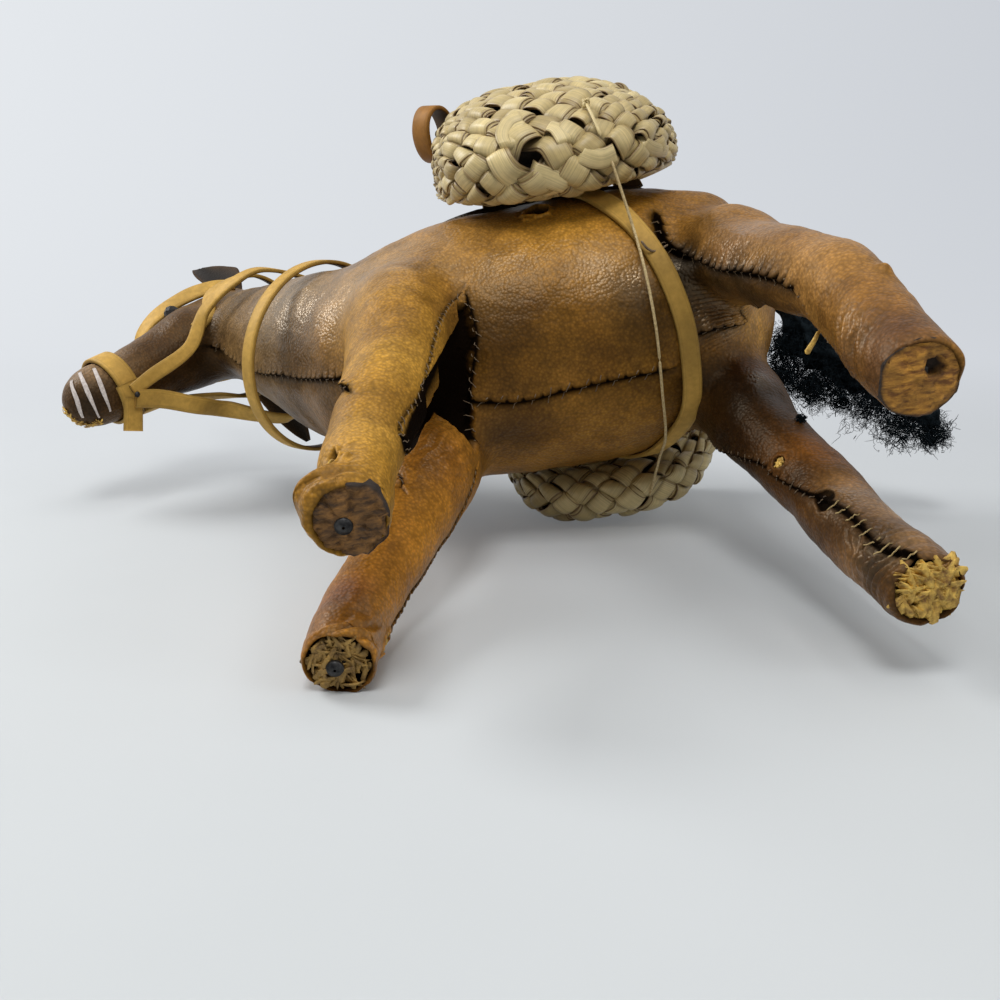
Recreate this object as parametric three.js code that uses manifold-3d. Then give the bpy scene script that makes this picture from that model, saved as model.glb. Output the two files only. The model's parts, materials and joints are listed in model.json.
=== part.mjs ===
// Pack donkey figure: sewn hide over packed straw and bent iron wire, with a strip-leather bridle,
// a leather back pad and girth, and two plaited palm baskets.
// Millimetres. +X is the animal's left, -Y is forward and +Z is up. The four soles stand on Z = 0.
import * as THREE from "three";
import { mergeVertices } from "three/addons/utils/BufferGeometryUtils.js";
import Module from "manifold-3d";

const wasm = await Module();
wasm.setup();

// Clearances
const SEAT_GAP = 0.3; // between a piece and what it rests on
const SEAM_GAP = 0.3; // between the two halves of the trunk's hide
const TURN_GAP = 0.6; // round the roots of the ears and the tail, which turn

// Leather, wire and thread
const HIDE = 1.6; // thickness of the hide
const STRAP = 1.2; // thickness of every strap
const PAD = 1.6; // thickness of the back pad
const WIRE = 2.8; // diameter of the armature wire
const THREAD = 1.0; // diameter of the palm thread under the belly

// Trunk
const BELLY = 80; // height of the belly's lowest line
const TRUNK_HEIGHT = 72; // belly to back
const TRUNK_HALF = 35; // half the greatest width
const CHEST_Y = -60;
const RUMP_Y = 71.5;
const TRUNK_SIDES = 24;
const CORE_SIDES = 14;

// Neck and head
const NECK_LENGTH = 73;
const NECK_RISE_DEG = 47; // slope of the neck above level
const NECK_HALF = 24.5; // half width and half depth where the neck leaves the trunk
const NECK_TIP_HALF = 13;
const HEAD_LENGTH = 75;
const HEAD_DROP_DEG = 47.5; // slope of the face below level
const POLL_BACK = 6; // the head starts this far behind the neck's tip, and this far above it
const POLL_UP = 14;
const CHEEK_HALF = 13;
const MUZZLE_HALF = 9.2;
const HEAD_TURN_DEG = 1.8; // the muzzle swings this far to the right
const NECK_SIDES = 20;
const HEAD_SIDES = 16;

// Legs
const SOLE_RADIUS = 7.4;
const KNEE_RADIUS = 10.6;
const HOCK_RADIUS = 8.5;
const THIGH_RADIUS = 9.4;
const FORE_ROOT_RADIUS = 15;
const HIND_ROOT_RADIUS = 11.5;
const LEG_SIDES = 12;
const LEG_CORE_SIDES = 8;
const WIRE_SETBACK = 1.5; // wire ends stop this far above the sole

// Ears, eyes and tail
const EAR_LENGTH = 34.5;
const EAR_WIDTH = 14;
const EAR_HIDE = 1.4;
const EAR_CUP = 2.2; // how far an ear's edges curl
const EAR_SUNK = 1; // an ear's leaf starts this far behind its hinge
const EYE_RADIUS = 2.6;
const EYE_STAND = 0.4; // the bead's middle stands this far off the face
const TAIL_ROOT_RADIUS = 3.4;
const TAIL_STAND = 3; // the tail's knot is grown this far off the rump, which leaves it TURN_GAP
const TAIL_RADIUS = 10;

// Harness
const GIRTH_WIDTH = 6.2;
const GIRTH_Y = 39; // where the girth crosses under the belly
const GIRTH_LEAN = 0.5; // it runs this far forward for each millimetre it climbs
const BACK_STRAP_WIDTH = 7;
const BACK_STRAP_SPREAD = 36; // between the two back straps
const BACK_STRAP_END_DEG = 40; // they end this far above the widest line of the trunk
const BRIDLE_WIDTH = 4; // rein, headstall, browband and neck strap
const NOSEBAND_WIDTH = 6.4;
const NOSEBAND_AT = 16; // back from the tip of the muzzle
const KEEPER_LENGTH = 7.5;
const PAD_LENGTH = 70;
const PAD_Y = 14; // middle of the pad along the trunk
const PAD_EDGE_DEG = 24; // the pad ends this far above the widest line of the trunk

// Baskets
const BASKET_LENGTH = 66;
const LEFT_BASKET_WIDTH = 24;
const RIGHT_BASKET_WIDTH = 18.5; // pressed flatter
const BASKET_DEPTH = 48;
const BASKET_WALL = 2.2;
const LEFT_BASKET_Y = 18; // middle of each basket along the trunk
const RIGHT_BASKET_Y = 23.5;
const BASKET_TUCK = 3.5; // how far the thread draws a basket's bottom in under the flank
const BASKET_DROP = 6; // rim below the top of the back
const HOOK_DEPTH = 9; // how far each hook reaches down inside its basket

const V = (x, y, z) => new THREE.Vector3(x, y, z);
const rad = THREE.MathUtils.degToRad;
const lerp = THREE.MathUtils.lerp;
const steps = (count, make) => Array.from({ length: count + 1 }, (_, i) => make(i / count));

// A closed solid from points and triangles, turned so that its faces point out.
function solidFrom(points, faces) {
  let volume = 0;
  for (const [a, b, c] of faces) volume += points[a].dot(points[b].clone().cross(points[c]));
  const turned = faces.flatMap(([a, b, c]) => (volume < 0 ? [a, c, b] : [a, b, c]));
  const vertProperties = new Float32Array(points.flatMap((p) => p.toArray()));
  return new wasm.Manifold(new wasm.Mesh({ numProp: 3, vertProperties, triVerts: new Uint32Array(turned) }));
}

// A three.js geometry as a solid.
function solidOf(geometry) {
  const bare = geometry.index ? geometry.toNonIndexed() : geometry.clone();
  bare.deleteAttribute("normal");
  bare.deleteAttribute("uv");
  const merged = mergeVertices(bare, 1e-3);
  const place = merged.getAttribute("position");
  const points = Array.from({ length: place.count }, (_, i) => V(0, 0, 0).fromBufferAttribute(place, i));
  const flat = Array.from(merged.index.array);
  const faces = [];
  for (let i = 0; i < flat.length; i += 3) {
    const face = flat.slice(i, i + 3);
    if (new Set(face).size === 3) faces.push(face);
  }
  return solidFrom(points, faces);
}

function geometryOf(solid) {
  const mesh = solid.getMesh();
  const place = new Float32Array(mesh.numVert * 3);
  for (let i = 0; i < mesh.numVert; i++)
    place.set(mesh.vertProperties.subarray(i * mesh.numProp, i * mesh.numProp + 3), i * 3);
  const geometry = new THREE.BufferGeometry();
  geometry.setAttribute("position", new THREE.BufferAttribute(place, 3));
  geometry.setIndex(new THREE.BufferAttribute(mesh.triVerts, 1));
  geometry.computeVertexNormals();
  return geometry;
}

function box(low, high) {
  const size = high.clone().sub(low);
  const middle = low.clone().add(high).multiplyScalar(0.5);
  return solidOf(new THREE.BoxGeometry(...size).translate(...middle));
}

// Rings of equal length, one after another, closed with a flat cap at each end.
function loft(rings) {
  const sides = rings[0].length;
  const middle = (ring) => ring.reduce((sum, p) => sum.add(p), V(0, 0, 0)).divideScalar(sides);
  const points = [...rings.flat(), middle(rings[0]), middle(rings.at(-1))];
  const tip = points.length - 2;
  const end = tip - sides;
  const faces = [];
  for (let j = 0; j < sides; j++) {
    const k = (j + 1) % sides;
    for (let i = 0; i < end; i += sides)
      faces.push([i + j, i + k, i + sides + j], [i + k, i + sides + k, i + sides + j]);
    faces.push([tip, k, j], [tip + 1, end + j, end + k]);
  }
  return solidFrom(points, faces);
}

// A sheet of leather: rows of {place, out}, where out is the way off the surface, given a thickness.
// A closed sheet joins its last row to its first.
function sheet(rows, thickness, closed = false) {
  const across = rows[0].length;
  const cells = rows.flat();
  const lifted = cells.map((c) => c.place.clone().addScaledVector(c.out, thickness));
  const points = [...lifted, ...cells.map((c) => c.place)];
  const faces = [];
  const quad = (a, b, c, d) => faces.push([a, b, c], [a, c, d]);
  const outer = (i, j) => (i % rows.length) * across + j;
  const inner = (i, j) => cells.length + outer(i, j);
  const spans = closed ? rows.length : rows.length - 1;
  for (let i = 0; i < spans; i++) {
    for (let j = 0; j + 1 < across; j++) {
      quad(outer(i, j), outer(i + 1, j), outer(i + 1, j + 1), outer(i, j + 1));
      quad(inner(i, j), inner(i, j + 1), inner(i + 1, j + 1), inner(i + 1, j));
    }
    quad(outer(i + 1, 0), outer(i, 0), inner(i, 0), inner(i + 1, 0));
    quad(outer(i, across - 1), outer(i + 1, across - 1), inner(i + 1, across - 1), inner(i, across - 1));
  }
  for (let j = 0; j + 1 < across && !closed; j++) {
    quad(outer(0, j), outer(0, j + 1), inner(0, j + 1), inner(0, j));
    quad(outer(spans, j + 1), outer(spans, j), inner(spans, j), inner(spans, j + 1));
  }
  return solidFrom(points, faces);
}

// A round rod along a smooth curve through the points.
function rod(points, diameter, sides, count) {
  const extrudePath = new THREE.CatmullRomCurve3(points, false, "centripetal");
  const corner = (i) => (2 * Math.PI * i) / sides;
  const round = Array.from({ length: sides }, (_, i) =>
    new THREE.Vector2(Math.cos(corner(i)), Math.sin(corner(i))).multiplyScalar(diameter / 2));
  const settings = { steps: count, extrudePath, bevelEnabled: false };
  return solidOf(new THREE.ExtrudeGeometry(new THREE.Shape(round), settings));
}

// A smooth value through pairs of [position, value], held level past both ends.
function through(pairs, position) {
  const last = pairs.length - 1;
  if (position <= pairs[0][0]) return pairs[0][1];
  if (position >= pairs[last][0]) return pairs[last][1];
  const slope = (k) => {
    const [x0, y0] = pairs[Math.max(k - 1, 0)];
    const [x1, y1] = pairs[Math.min(k + 1, last)];
    return (y1 - y0) / (x1 - x0);
  };
  const i = pairs.findIndex(([x]) => x > position) - 1;
  const span = pairs[i + 1][0] - pairs[i][0];
  const t = (position - pairs[i][0]) / span;
  const bulge = span * t * (1 - t) * ((1 - t) * slope(i) - t * slope(i + 1));
  return lerp(pairs[i][1], pairs[i + 1][1], t * t * (3 - 2 * t)) + bulge;
}

const FINEST = 0.4; // no section of a form is finer than this

// A straight form that swells and tapers: rows of [distance, half width, half height, lift], measured
// back from its front end. Angles run in degrees from the animal's left, over its top, to its right.
class Spindle {
  constructor(front, along, rows) {
    Object.assign(this, { front, along, rows, length: rows.at(-1)[0] });
    this.left = V(1, 0, 0).addScaledVector(along, -along.x).normalize();
    this.up = this.left.clone().cross(along);
  }
  size(distance, column) {
    return through(this.rows.map((row) => [row[0], row[column]]), distance);
  }
  // The place on the surface, grown outwards on every side.
  point(distance, degrees, grow = 0) {
    const wide = Math.max(this.size(distance, 1) + grow, FINEST) * Math.cos(rad(degrees));
    const high = Math.max(this.size(distance, 2) + grow, FINEST) * Math.sin(rad(degrees));
    return this.front
      .clone()
      .addScaledVector(this.along, lerp(-grow, this.length + grow, distance / this.length))
      .addScaledVector(this.left, wide)
      .addScaledVector(this.up, high + this.size(distance, 3));
  }
  // The way off the surface, square to the section's outline.
  out(distance, degrees) {
    return V(0, 0, 0)
      .addScaledVector(this.left, Math.cos(rad(degrees)) / this.size(distance, 1))
      .addScaledVector(this.up, Math.sin(rad(degrees)) / this.size(distance, 2))
      .normalize();
  }
  seat(distance, degrees, stand = SEAT_GAP) {
    return { place: this.point(distance, degrees, stand), out: this.out(distance, degrees) };
  }
  solid(sides, fineness, grow = 0) {
    const stops = this.rows.slice(1).flatMap(([to], i) =>
      steps(fineness, (t) => lerp(this.rows[i][0], to, t)).slice(i ? 1 : 0));
    return loft(stops.map((at) => steps(sides, (t) => this.point(at, 360 * t, grow)).slice(1)));
  }
}

// A bent form: stations of {place, half} along a curve, with round sections square to it.
class Limb {
  constructor(stations) {
    this.spans = stations.length - 1;
    this.path = new THREE.CatmullRomCurve3(stations.map((s) => s.place), false, "catmullrom", 0.5);
    this.halves = new THREE.CatmullRomCurve3(stations.map((s) => V(s.half, 0, 0)), false, "catmullrom", 0.5);
  }
  ring(share, sides, grow) {
    const along = this.path.getTangent(share);
    const left = V(1, 0, 0).addScaledVector(along, -along.x).normalize();
    const back = along.clone().cross(left);
    const half = this.halves.getPoint(share).x + grow;
    return steps(sides, (t) =>
      this.path
        .getPoint(share)
        .addScaledVector(left, half * Math.cos(2 * Math.PI * t))
        .addScaledVector(back, half * Math.sin(2 * Math.PI * t))).slice(1);
  }
  solid(sides, fineness, grow = 0) {
    return loft(steps(this.spans * fineness, (share) => this.ring(share, sides, grow)));
  }
}

// A strap along stations of {place, out}, smoothed, its width square to both.
function strap(stations, width, count) {
  const route = new THREE.CatmullRomCurve3(stations.map((s) => s.place), false, "catmullrom", 0.5);
  const outs = new THREE.CatmullRomCurve3(stations.map((s) => s.out), false, "catmullrom", 0.5);
  const rows = steps(count, (t) => {
    const along = route.getTangent(t);
    const out = outs.getPoint(t);
    out.addScaledVector(along, -out.dot(along)).normalize();
    const across = along.clone().cross(out);
    return [-width / 2, width / 2].map((w) => ({ place: route.getPoint(t).addScaledVector(across, w), out }));
  });
  return sheet(rows, STRAP);
}

// Finishes

const LEATHER = { color: 0x7d4f26, roughness: 0.5, metalness: 0 };
const STRIP = { color: 0x9b7343, roughness: 0.65, metalness: 0 };
const STRAW = { color: 0xc39a4e, roughness: 0.9, metalness: 0 };
const IRON = { color: 0x3a3633, roughness: 0.5, metalness: 0.9 };
const PALM = { color: 0xcbb994, roughness: 0.8, metalness: 0 };
const WOOL = { color: 0x14141a, roughness: 1, metalness: 0 };
const BEAD = { color: 0x0b0908, roughness: 0.2, metalness: 0 };

const figure = new THREE.Group();

function add(name, solid, finish) {
  const mesh = new THREE.Mesh(geometryOf(solid), new THREE.MeshStandardMaterial(finish));
  mesh.name = name;
  figure.add(mesh);
}

// Trunk: [place along Y, share of the half width, reach above and below the middle line]

const MIDDLE = BELLY + TRUNK_HEIGHT / 2;
const BACK = BELLY + TRUNK_HEIGHT;
const trunkRows = [
  [CHEST_Y, 0.05, 0.03, 0.08],
  [CHEST_Y + 5, 0.49, 0.53, 0.5],
  [CHEST_Y + 16, 0.74, 0.83, 0.79],
  [CHEST_Y + 38, 0.94, 0.98, 0.96],
  [(CHEST_Y + RUMP_Y) / 2, 1, 1, 1],
  [RUMP_Y - 40, 0.985, 0.97, 0.93],
  [RUMP_Y - 20, 0.83, 0.89, 0.69],
  [RUMP_Y - 7, 0.54, 0.69, 0.39],
  [RUMP_Y, 0.05, 0.22, -0.14],
].map(([y, wide, above, below]) => [
  y - CHEST_Y,
  TRUNK_HALF * wide,
  (TRUNK_HEIGHT / 4) * (above + below),
  (TRUNK_HEIGHT / 4) * (above - below),
]);
const trunk = new Spindle(V(0, CHEST_Y, MIDDLE), V(0, 1, 0), trunkRows);
const trunkSeat = (y, degrees, stand) => trunk.seat(y - CHEST_Y, degrees, stand);
const trunkClear = trunk.solid(TRUNK_SIDES, 2, SEAT_GAP);

// Neck: it runs back and down from inside the head to inside the trunk

const neckRise = rad(NECK_RISE_DEG);
const neckAlong = V(0, Math.cos(neckRise), -Math.sin(neckRise));
const NECK_ROOT = V(0, CHEST_Y + 24, BACK - 33);
const neckTip = NECK_ROOT.clone().addScaledVector(neckAlong, -NECK_LENGTH);
const neck = new Spindle(neckTip, neckAlong, [
  [0, NECK_TIP_HALF, NECK_TIP_HALF, 0],
  [NECK_LENGTH - 42, lerp(NECK_TIP_HALF, NECK_HALF, 0.5), lerp(NECK_TIP_HALF, NECK_HALF, 0.55), 0],
  [NECK_LENGTH - 15, NECK_HALF, NECK_HALF + 1, 0],
  [NECK_LENGTH, NECK_HALF, NECK_HALF + 1, 0],
]);

// Head: it runs back and up from the muzzle to the poll, its wall open only where the wire enters

const headDrop = rad(HEAD_DROP_DEG);
const headTurn = rad(HEAD_TURN_DEG);
const headAlong = V(Math.sin(headTurn), Math.cos(headDrop), Math.sin(headDrop)).normalize();
const poll = neckTip.clone().add(V(0, POLL_BACK, POLL_UP));
const muzzle = poll.clone().addScaledVector(headAlong, -HEAD_LENGTH);
const head = new Spindle(muzzle, headAlong, [
  [0, 2.5, 2.3, 0],
  [4, MUZZLE_HALF - 2, MUZZLE_HALF - 2.4, 0],
  [11, MUZZLE_HALF, MUZZLE_HALF - 0.4, 0],
  [NOSEBAND_AT, MUZZLE_HALF - 0.3, MUZZLE_HALF, 0],
  [HEAD_LENGTH - 44, lerp(MUZZLE_HALF, CHEEK_HALF, 0.15), lerp(MUZZLE_HALF, CHEEK_HALF, 0.4), 0],
  [HEAD_LENGTH - 28, CHEEK_HALF - 0.7, CHEEK_HALF + 0.6, 0],
  [HEAD_LENGTH - 14, CHEEK_HALF, CHEEK_HALF + 1, 0],
  [HEAD_LENGTH - 4, CHEEK_HALF - 2, CHEEK_HALF - 1.5, 0],
  [HEAD_LENGTH, CHEEK_HALF - 7, CHEEK_HALF - 7, 0],
]);
const headClear = head.solid(HEAD_SIDES, 2, SEAT_GAP);

// Legs: rows of [x, y, height as a share of the belly's], from below the sole to inside the trunk

const foreHalves = [
  SOLE_RADIUS,
  SOLE_RADIUS,
  SOLE_RADIUS + 0.4,
  KNEE_RADIUS,
  FORE_ROOT_RADIUS - 1,
  FORE_ROOT_RADIUS,
];
const hindHalves = [
  SOLE_RADIUS,
  SOLE_RADIUS + 0.3,
  HOCK_RADIUS - 0.4,
  HOCK_RADIUS,
  THIGH_RADIUS,
  HIND_ROOT_RADIUS,
  HIND_ROOT_RADIUS - 1,
];
const legRoutes = {
  left_fore: [
    [12.8, -36.5, -0.08],
    [12.6, -36.5, 0.12],
    [13, -35.5, 0.36],
    [16, -30, 0.75],
    [17.5, -28, 1.1],
    [15, -27, 1.4],
  ],
  right_fore: [
    [-15.8, -45, -0.08],
    [-15.8, -44, 0.12],
    [-15.4, -38, 0.4],
    [-13.5, -30, 0.75],
    [-16, -27, 1.1],
    [-15, -27, 1.4],
  ],
  left_hind: [
    [20.5, 60.6, -0.08],
    [21.5, 61, 0.12],
    [24, 61.5, 0.36],
    [25, 61, 0.57],
    [23.5, 57, 0.835],
    [22.5, 53.8, 1.1],
    [17.5, 50.8, 1.34],
  ],
  right_hind: [
    [-20.8, 63, -0.08],
    [-22, 62.5, 0.12],
    [-24, 60.5, 0.38],
    [-22.5, 58.5, 0.6],
    [-19.5, 54.5, 0.86],
    [-17, 52, 1.08],
    [-13, 50, 1.32],
  ],
};
const legs = Object.entries(legRoutes).map(([name, route]) => {
  const halves = name.endsWith("fore") ? foreHalves : hindHalves;
  const stations = route.map(([x, y, share], i) => ({ place: V(x, y, share * BELLY), half: halves[i] }));
  return { name, limb: new Limb(stations) };
});
const legNamed = (name) => legs.find((leg) => leg.name === name).limb;
const FAR = 3 * (RUMP_Y - CHEST_Y); // past every piece
const ground = box(V(-FAR, -FAR, -FAR), V(FAR, FAR, 0));

// Armature: one wire bent over each pair of legs, and one from the face to the rump

const WIRE_SIDES = 5;
const saddleBend = (y) => [V(7, y, MIDDLE + 6), V(-7, y, MIDDLE + 6)];
function legWire(pair) {
  const side = (name) => {
    const limb = legNamed(name);
    const inside = steps(limb.spans, (t) => limb.path.getPoint(t)).filter((p) => p.z > WIRE_SETBACK + WIRE);
    return [V(inside[0].x, inside[0].y, WIRE_SETBACK), ...inside];
  };
  const left = side(`left_${pair}`);
  const right = side(`right_${pair}`);
  return [...left, ...saddleBend(left.at(-1).y), ...right.reverse()];
}
const spineRoute = [
  muzzle.clone().addScaledVector(headAlong, 14),
  muzzle.clone().addScaledVector(headAlong, HEAD_LENGTH * 0.55),
  poll.clone().addScaledVector(headAlong, -16).addScaledVector(head.up, -3),
  neckTip.clone().addScaledVector(neckAlong, 8).addScaledVector(neck.up, -2),
  neckTip.clone().addScaledVector(neckAlong, NECK_LENGTH * 0.6),
  V(0, CHEST_Y + 26, MIDDLE + 20),
  V(0, (CHEST_Y + RUMP_Y) / 2, MIDDLE + 21),
  V(0, RUMP_Y - 12, MIDDLE + 14),
];
const wires = [
  { name: "fore_leg_wire", route: legWire("fore"), count: 30 },
  { name: "hind_leg_wire", route: legWire("hind"), count: 32 },
  { name: "spine_wire", route: spineRoute, count: 28 },
];
const wireBores = wires
  .map(({ route, count }) => rod(route, WIRE + 2 * SEAT_GAP, WIRE_SIDES, count))
  .reduce((all, bore) => all.add(bore));
for (const { name, route, count } of wires) add(name, rod(route, WIRE, WIRE_SIDES, count), IRON);

// Hides and their straw

const trunkShell = trunk
  .solid(TRUNK_SIDES, 2)
  .subtract(trunk.solid(CORE_SIDES, 1, -HIDE))
  .subtract(wireBores);
for (const [name, side] of [["left", 1], ["right", -1]]) {
  const half = [V((side * SEAM_GAP) / 2, -FAR, -FAR), V(side * FAR, FAR, FAR)];
  const [low, high] = [half[0].clone().min(half[1]), half[0].clone().max(half[1])];
  add(`trunk_hide_${name}`, trunkShell.intersect(box(low, high)), LEATHER);
}
add("trunk_straw", trunk.solid(CORE_SIDES, 1, -HIDE - SEAT_GAP).subtract(wireBores), STRAW);

const neckCut = (solid) => solid.subtract(trunkClear).subtract(headClear).subtract(wireBores);
add("neck_hide", neckCut(neck.solid(NECK_SIDES, 2).subtract(neck.solid(CORE_SIDES, 1, -HIDE))), LEATHER);
add("neck_straw", neckCut(neck.solid(CORE_SIDES, 1, -HIDE - SEAT_GAP)), STRAW);

const headSolid = head.solid(HEAD_SIDES, 2);
add("head_hide", headSolid.subtract(head.solid(CORE_SIDES, 1, -HIDE)).subtract(wireBores), LEATHER);
add("head_straw", head.solid(CORE_SIDES, 1, -HIDE - SEAT_GAP).subtract(wireBores), STRAW);

for (const { name, limb } of legs) {
  const trim = (solid) => solid.subtract(ground).subtract(trunkClear);
  const hollow = limb.solid(LEG_CORE_SIDES, 1, -HIDE);
  const stuffing = limb.solid(LEG_CORE_SIDES, 1, -HIDE - SEAT_GAP);
  add(`${name}_leg_hide`, trim(limb.solid(LEG_SIDES, 2).subtract(hollow)), LEATHER);
  add(`${name}_leg_straw`, trim(stuffing).subtract(wireBores), STRAW);
}

// Ears: cupped leaves of leather, sewn on at their roots

const EAR_OUTLINE = [[0, 0.5], [0.18, 0.8], [0.42, 1], [0.68, 0.82], [0.88, 0.45], [1, 0.12]];
const ears = [
  { name: "left_ear", degrees: 34, way: V(0.03, -0.58, 0.81), face: V(0.9, 0.3, 0.2) },
  { name: "right_ear", degrees: 160, way: V(-0.96, 0.2, -0.18), face: V(0, -0.35, -0.94) },
];
for (const { name, degrees, way, face } of ears) {
  const along = way.normalize();
  const out = face.addScaledVector(along, -face.dot(along)).normalize();
  const across = along.clone().cross(out);
  const root = head.point(HEAD_LENGTH - 5, degrees, TURN_GAP);
  const rows = steps(8, (t) => {
    const half = (EAR_WIDTH / 2) * through(EAR_OUTLINE, t);
    return steps(4, (s) => {
      const side = 2 * s - 1;
      const place = root.clone().addScaledVector(along, EAR_LENGTH * t - EAR_SUNK);
      place.addScaledVector(across, side * half).addScaledVector(out, EAR_CUP * side * side - EAR_HIDE / 2);
      return { place, out };
    });
  });
  add(name, sheet(rows, EAR_HIDE).subtract(head.solid(HEAD_SIDES, 2, TURN_GAP)), LEATHER);
}

// Eyes: beads let into the face

for (const [name, degrees] of [["left_eye", 32], ["right_eye", 148]]) {
  const socket = head.point(HEAD_LENGTH - 28, degrees, EYE_STAND);
  const bead = new THREE.SphereGeometry(EYE_RADIUS, 8, 6).translate(...socket);
  add(name, solidOf(bead).subtract(headClear), BEAD);
}

// Tail: a tuft of wool on a small round knot behind the rump

const tailRoot = trunk.point(RUMP_Y - CHEST_Y - 4, 97, TAIL_STAND);
const tailRows = [
  [0, -TAIL_ROOT_RADIUS, 0, TAIL_ROOT_RADIUS * 0.2],
  [0, -TAIL_ROOT_RADIUS / 2, 0, TAIL_ROOT_RADIUS * 0.87],
  [0, 0, 0, TAIL_ROOT_RADIUS],
];
const tailSweep = [
  [-5, 6, -3, TAIL_ROOT_RADIUS + 0.6],
  [-15, 14, -10, TAIL_RADIUS * 0.95],
  [-28, 27, -18, TAIL_RADIUS],
  [-39, 41, -26, TAIL_RADIUS * 0.7],
  [-43, 47, -29, 1.5],
];
const tail = new Limb([...tailRows, ...tailSweep].map(([x, y, z, half]) =>
  ({ place: tailRoot.clone().add(V(x, y, z)), half })));
add("tail_tuft", tail.solid(10, 2), WOOL);

// Girth, pad and back straps

const GIRTH_SHORT_DEG = 2; // its ends stop this far short of the pad's edges
const girthDegrees = (t) =>
  lerp(180 - PAD_EDGE_DEG + GIRTH_SHORT_DEG, 360 + PAD_EDGE_DEG - GIRTH_SHORT_DEG, t);
const girthAt = (degrees) => GIRTH_Y - GIRTH_LEAN * (TRUNK_HEIGHT / 2) * (1 + Math.sin(rad(degrees)));
const girthRows = steps(26, (t) =>
  [-1, 1].map((side) => trunkSeat(girthAt(girthDegrees(t)) + (side * GIRTH_WIDTH) / 2, girthDegrees(t))));
add("girth", sheet(girthRows, STRAP), STRIP);

const padRows = steps(16, (t) =>
  steps(8, (s) => trunkSeat(PAD_Y + (s - 0.5) * PAD_LENGTH, lerp(PAD_EDGE_DEG, 180 - PAD_EDGE_DEG, t))));
add("back_pad", sheet(padRows, PAD), LEATHER);

const strapStand = SEAT_GAP + PAD + SEAT_GAP;
const strapPlaces = [
  ["front", LEFT_BASKET_Y - BACK_STRAP_SPREAD / 2],
  ["rear", LEFT_BASKET_Y + BACK_STRAP_SPREAD / 2],
];
for (const [name, y] of strapPlaces) {
  const rows = steps(14, (t) => {
    const degrees = lerp(BACK_STRAP_END_DEG, 180 - BACK_STRAP_END_DEG, t);
    return [-1, 1].map((side) => trunkSeat(y + (side * BACK_STRAP_WIDTH) / 2, degrees, strapStand));
  });
  add(`${name}_back_strap`, sheet(rows, STRAP), STRIP);
}

// Baskets: boat-shaped pouches, blunt in front and finer behind, hung by hooks from the back straps

const BASKET_END_SHARE = 0.985; // the ends are cut this near the tips
const TUCK_CLEAR = 0.5; // a basket stands off this far more, for the wall that the tuck draws in
const basketWall = TRUNK_HALF + SEAT_GAP + STRAP + SEAT_GAP + TUCK_CLEAR;
const rim = BACK - BASKET_DROP;
const baskets = {
  left: { side: 1, middle: LEFT_BASKET_Y, width: LEFT_BASKET_WIDTH },
  right: { side: -1, middle: RIGHT_BASKET_Y, width: RIGHT_BASKET_WIDTH },
};
const basketShare = (basket, y) => (y - basket.middle) / (BASKET_LENGTH / 2);
const basketFullness = (u) => Math.pow(1 - Math.pow(Math.abs(u), u < 0 ? 3.2 : 2), u < 0 ? 1 / 3.2 : 1 / 2);
// The place on a basket: u runs from front to rear, t from the inner rim under the bottom to the outer rim.
function basketPoint(basket, u, t, wall) {
  const full = basketFullness(u);
  const angle = Math.PI * (1 + t);
  const bow = (value) => Math.sign(value) * Math.pow(Math.abs(value), 2 / 3);
  const drop = (BASKET_DEPTH * full - wall) * -bow(Math.sin(angle));
  const reach = (basket.width / 2) * full + ((basket.width / 2) * full - wall) * bow(Math.cos(angle));
  const x = basketWall + reach - BASKET_TUCK * Math.pow(drop / BASKET_DEPTH, 4);
  return V(basket.side * x, basket.middle + u * (BASKET_LENGTH / 2 - wall), rim - drop);
}
function basketSolid(basket, wall, above) {
  const places = steps(12, (s) => BASKET_END_SHARE * Math.sin((Math.PI / 2) * (2 * s - 1)));
  return loft(places.map((u) => {
    const arc = steps(10, (t) => basketPoint(basket, u, t, wall));
    return above ? [...arc, arc.at(-1).clone().setZ(rim + above), arc[0].clone().setZ(rim + above)] : arc;
  }));
}

// A hook: a strip from the end of a back strap over the basket's rim and down inside its wall.
const HOOK_CLEAR = SEAT_GAP + 0.3;
const HOOK_START = HOOK_CLEAR + 2 * STRAP; // from the end of the back strap to the start of the hook
const HOOK_STAND = 0.6; // off the strap's underside
function hook(basket, y) {
  const hung = trunkSeat(y, BACK_STRAP_END_DEG, strapStand + HOOK_STAND);
  const wall = basketPoint({ ...basket, side: 1 }, basketShare(basket, y), 0, 0).x;
  const inside = wall + BASKET_WALL + HOOK_CLEAR;
  const start = hung.place.clone().add(V(hung.out.z, 0, -hung.out.x).multiplyScalar(HOOK_START));
  const stations = [
    { place: start, out: V(0.2, 0, 1) },
    { place: V(lerp(start.x, wall, 0.6), y, lerp(start.z, rim, 0.6)), out: V(-0.6, 0, 0.8) },
    { place: V(wall, y, rim + HOOK_CLEAR), out: V(-0.2, 0, 1) },
    { place: V(inside, y, rim + HOOK_CLEAR), out: V(0.7, 0, 0.7) },
    { place: V(inside, y, rim - HOOK_DEPTH / 2), out: V(1, 0, 0) },
    { place: V(inside, y, rim - HOOK_DEPTH), out: V(1, 0, 0) },
  ];
  const flip = (v) => V(basket.side * v.x, v.y, v.z);
  return strap(stations.map((s) => ({ place: flip(s.place), out: flip(s.out) })), BACK_STRAP_WIDTH, 15);
}

for (const [name, basket] of Object.entries(baskets)) {
  add(`${name}_basket`, basketSolid(basket, 0).subtract(basketSolid(basket, BASKET_WALL, 5)), PALM);
  for (const [end, y] of strapPlaces) add(`${name}_${end}_hook`, hook(basket, y), STRIP);
}

// Leather loop standing on the rim of the left basket's front end

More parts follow.
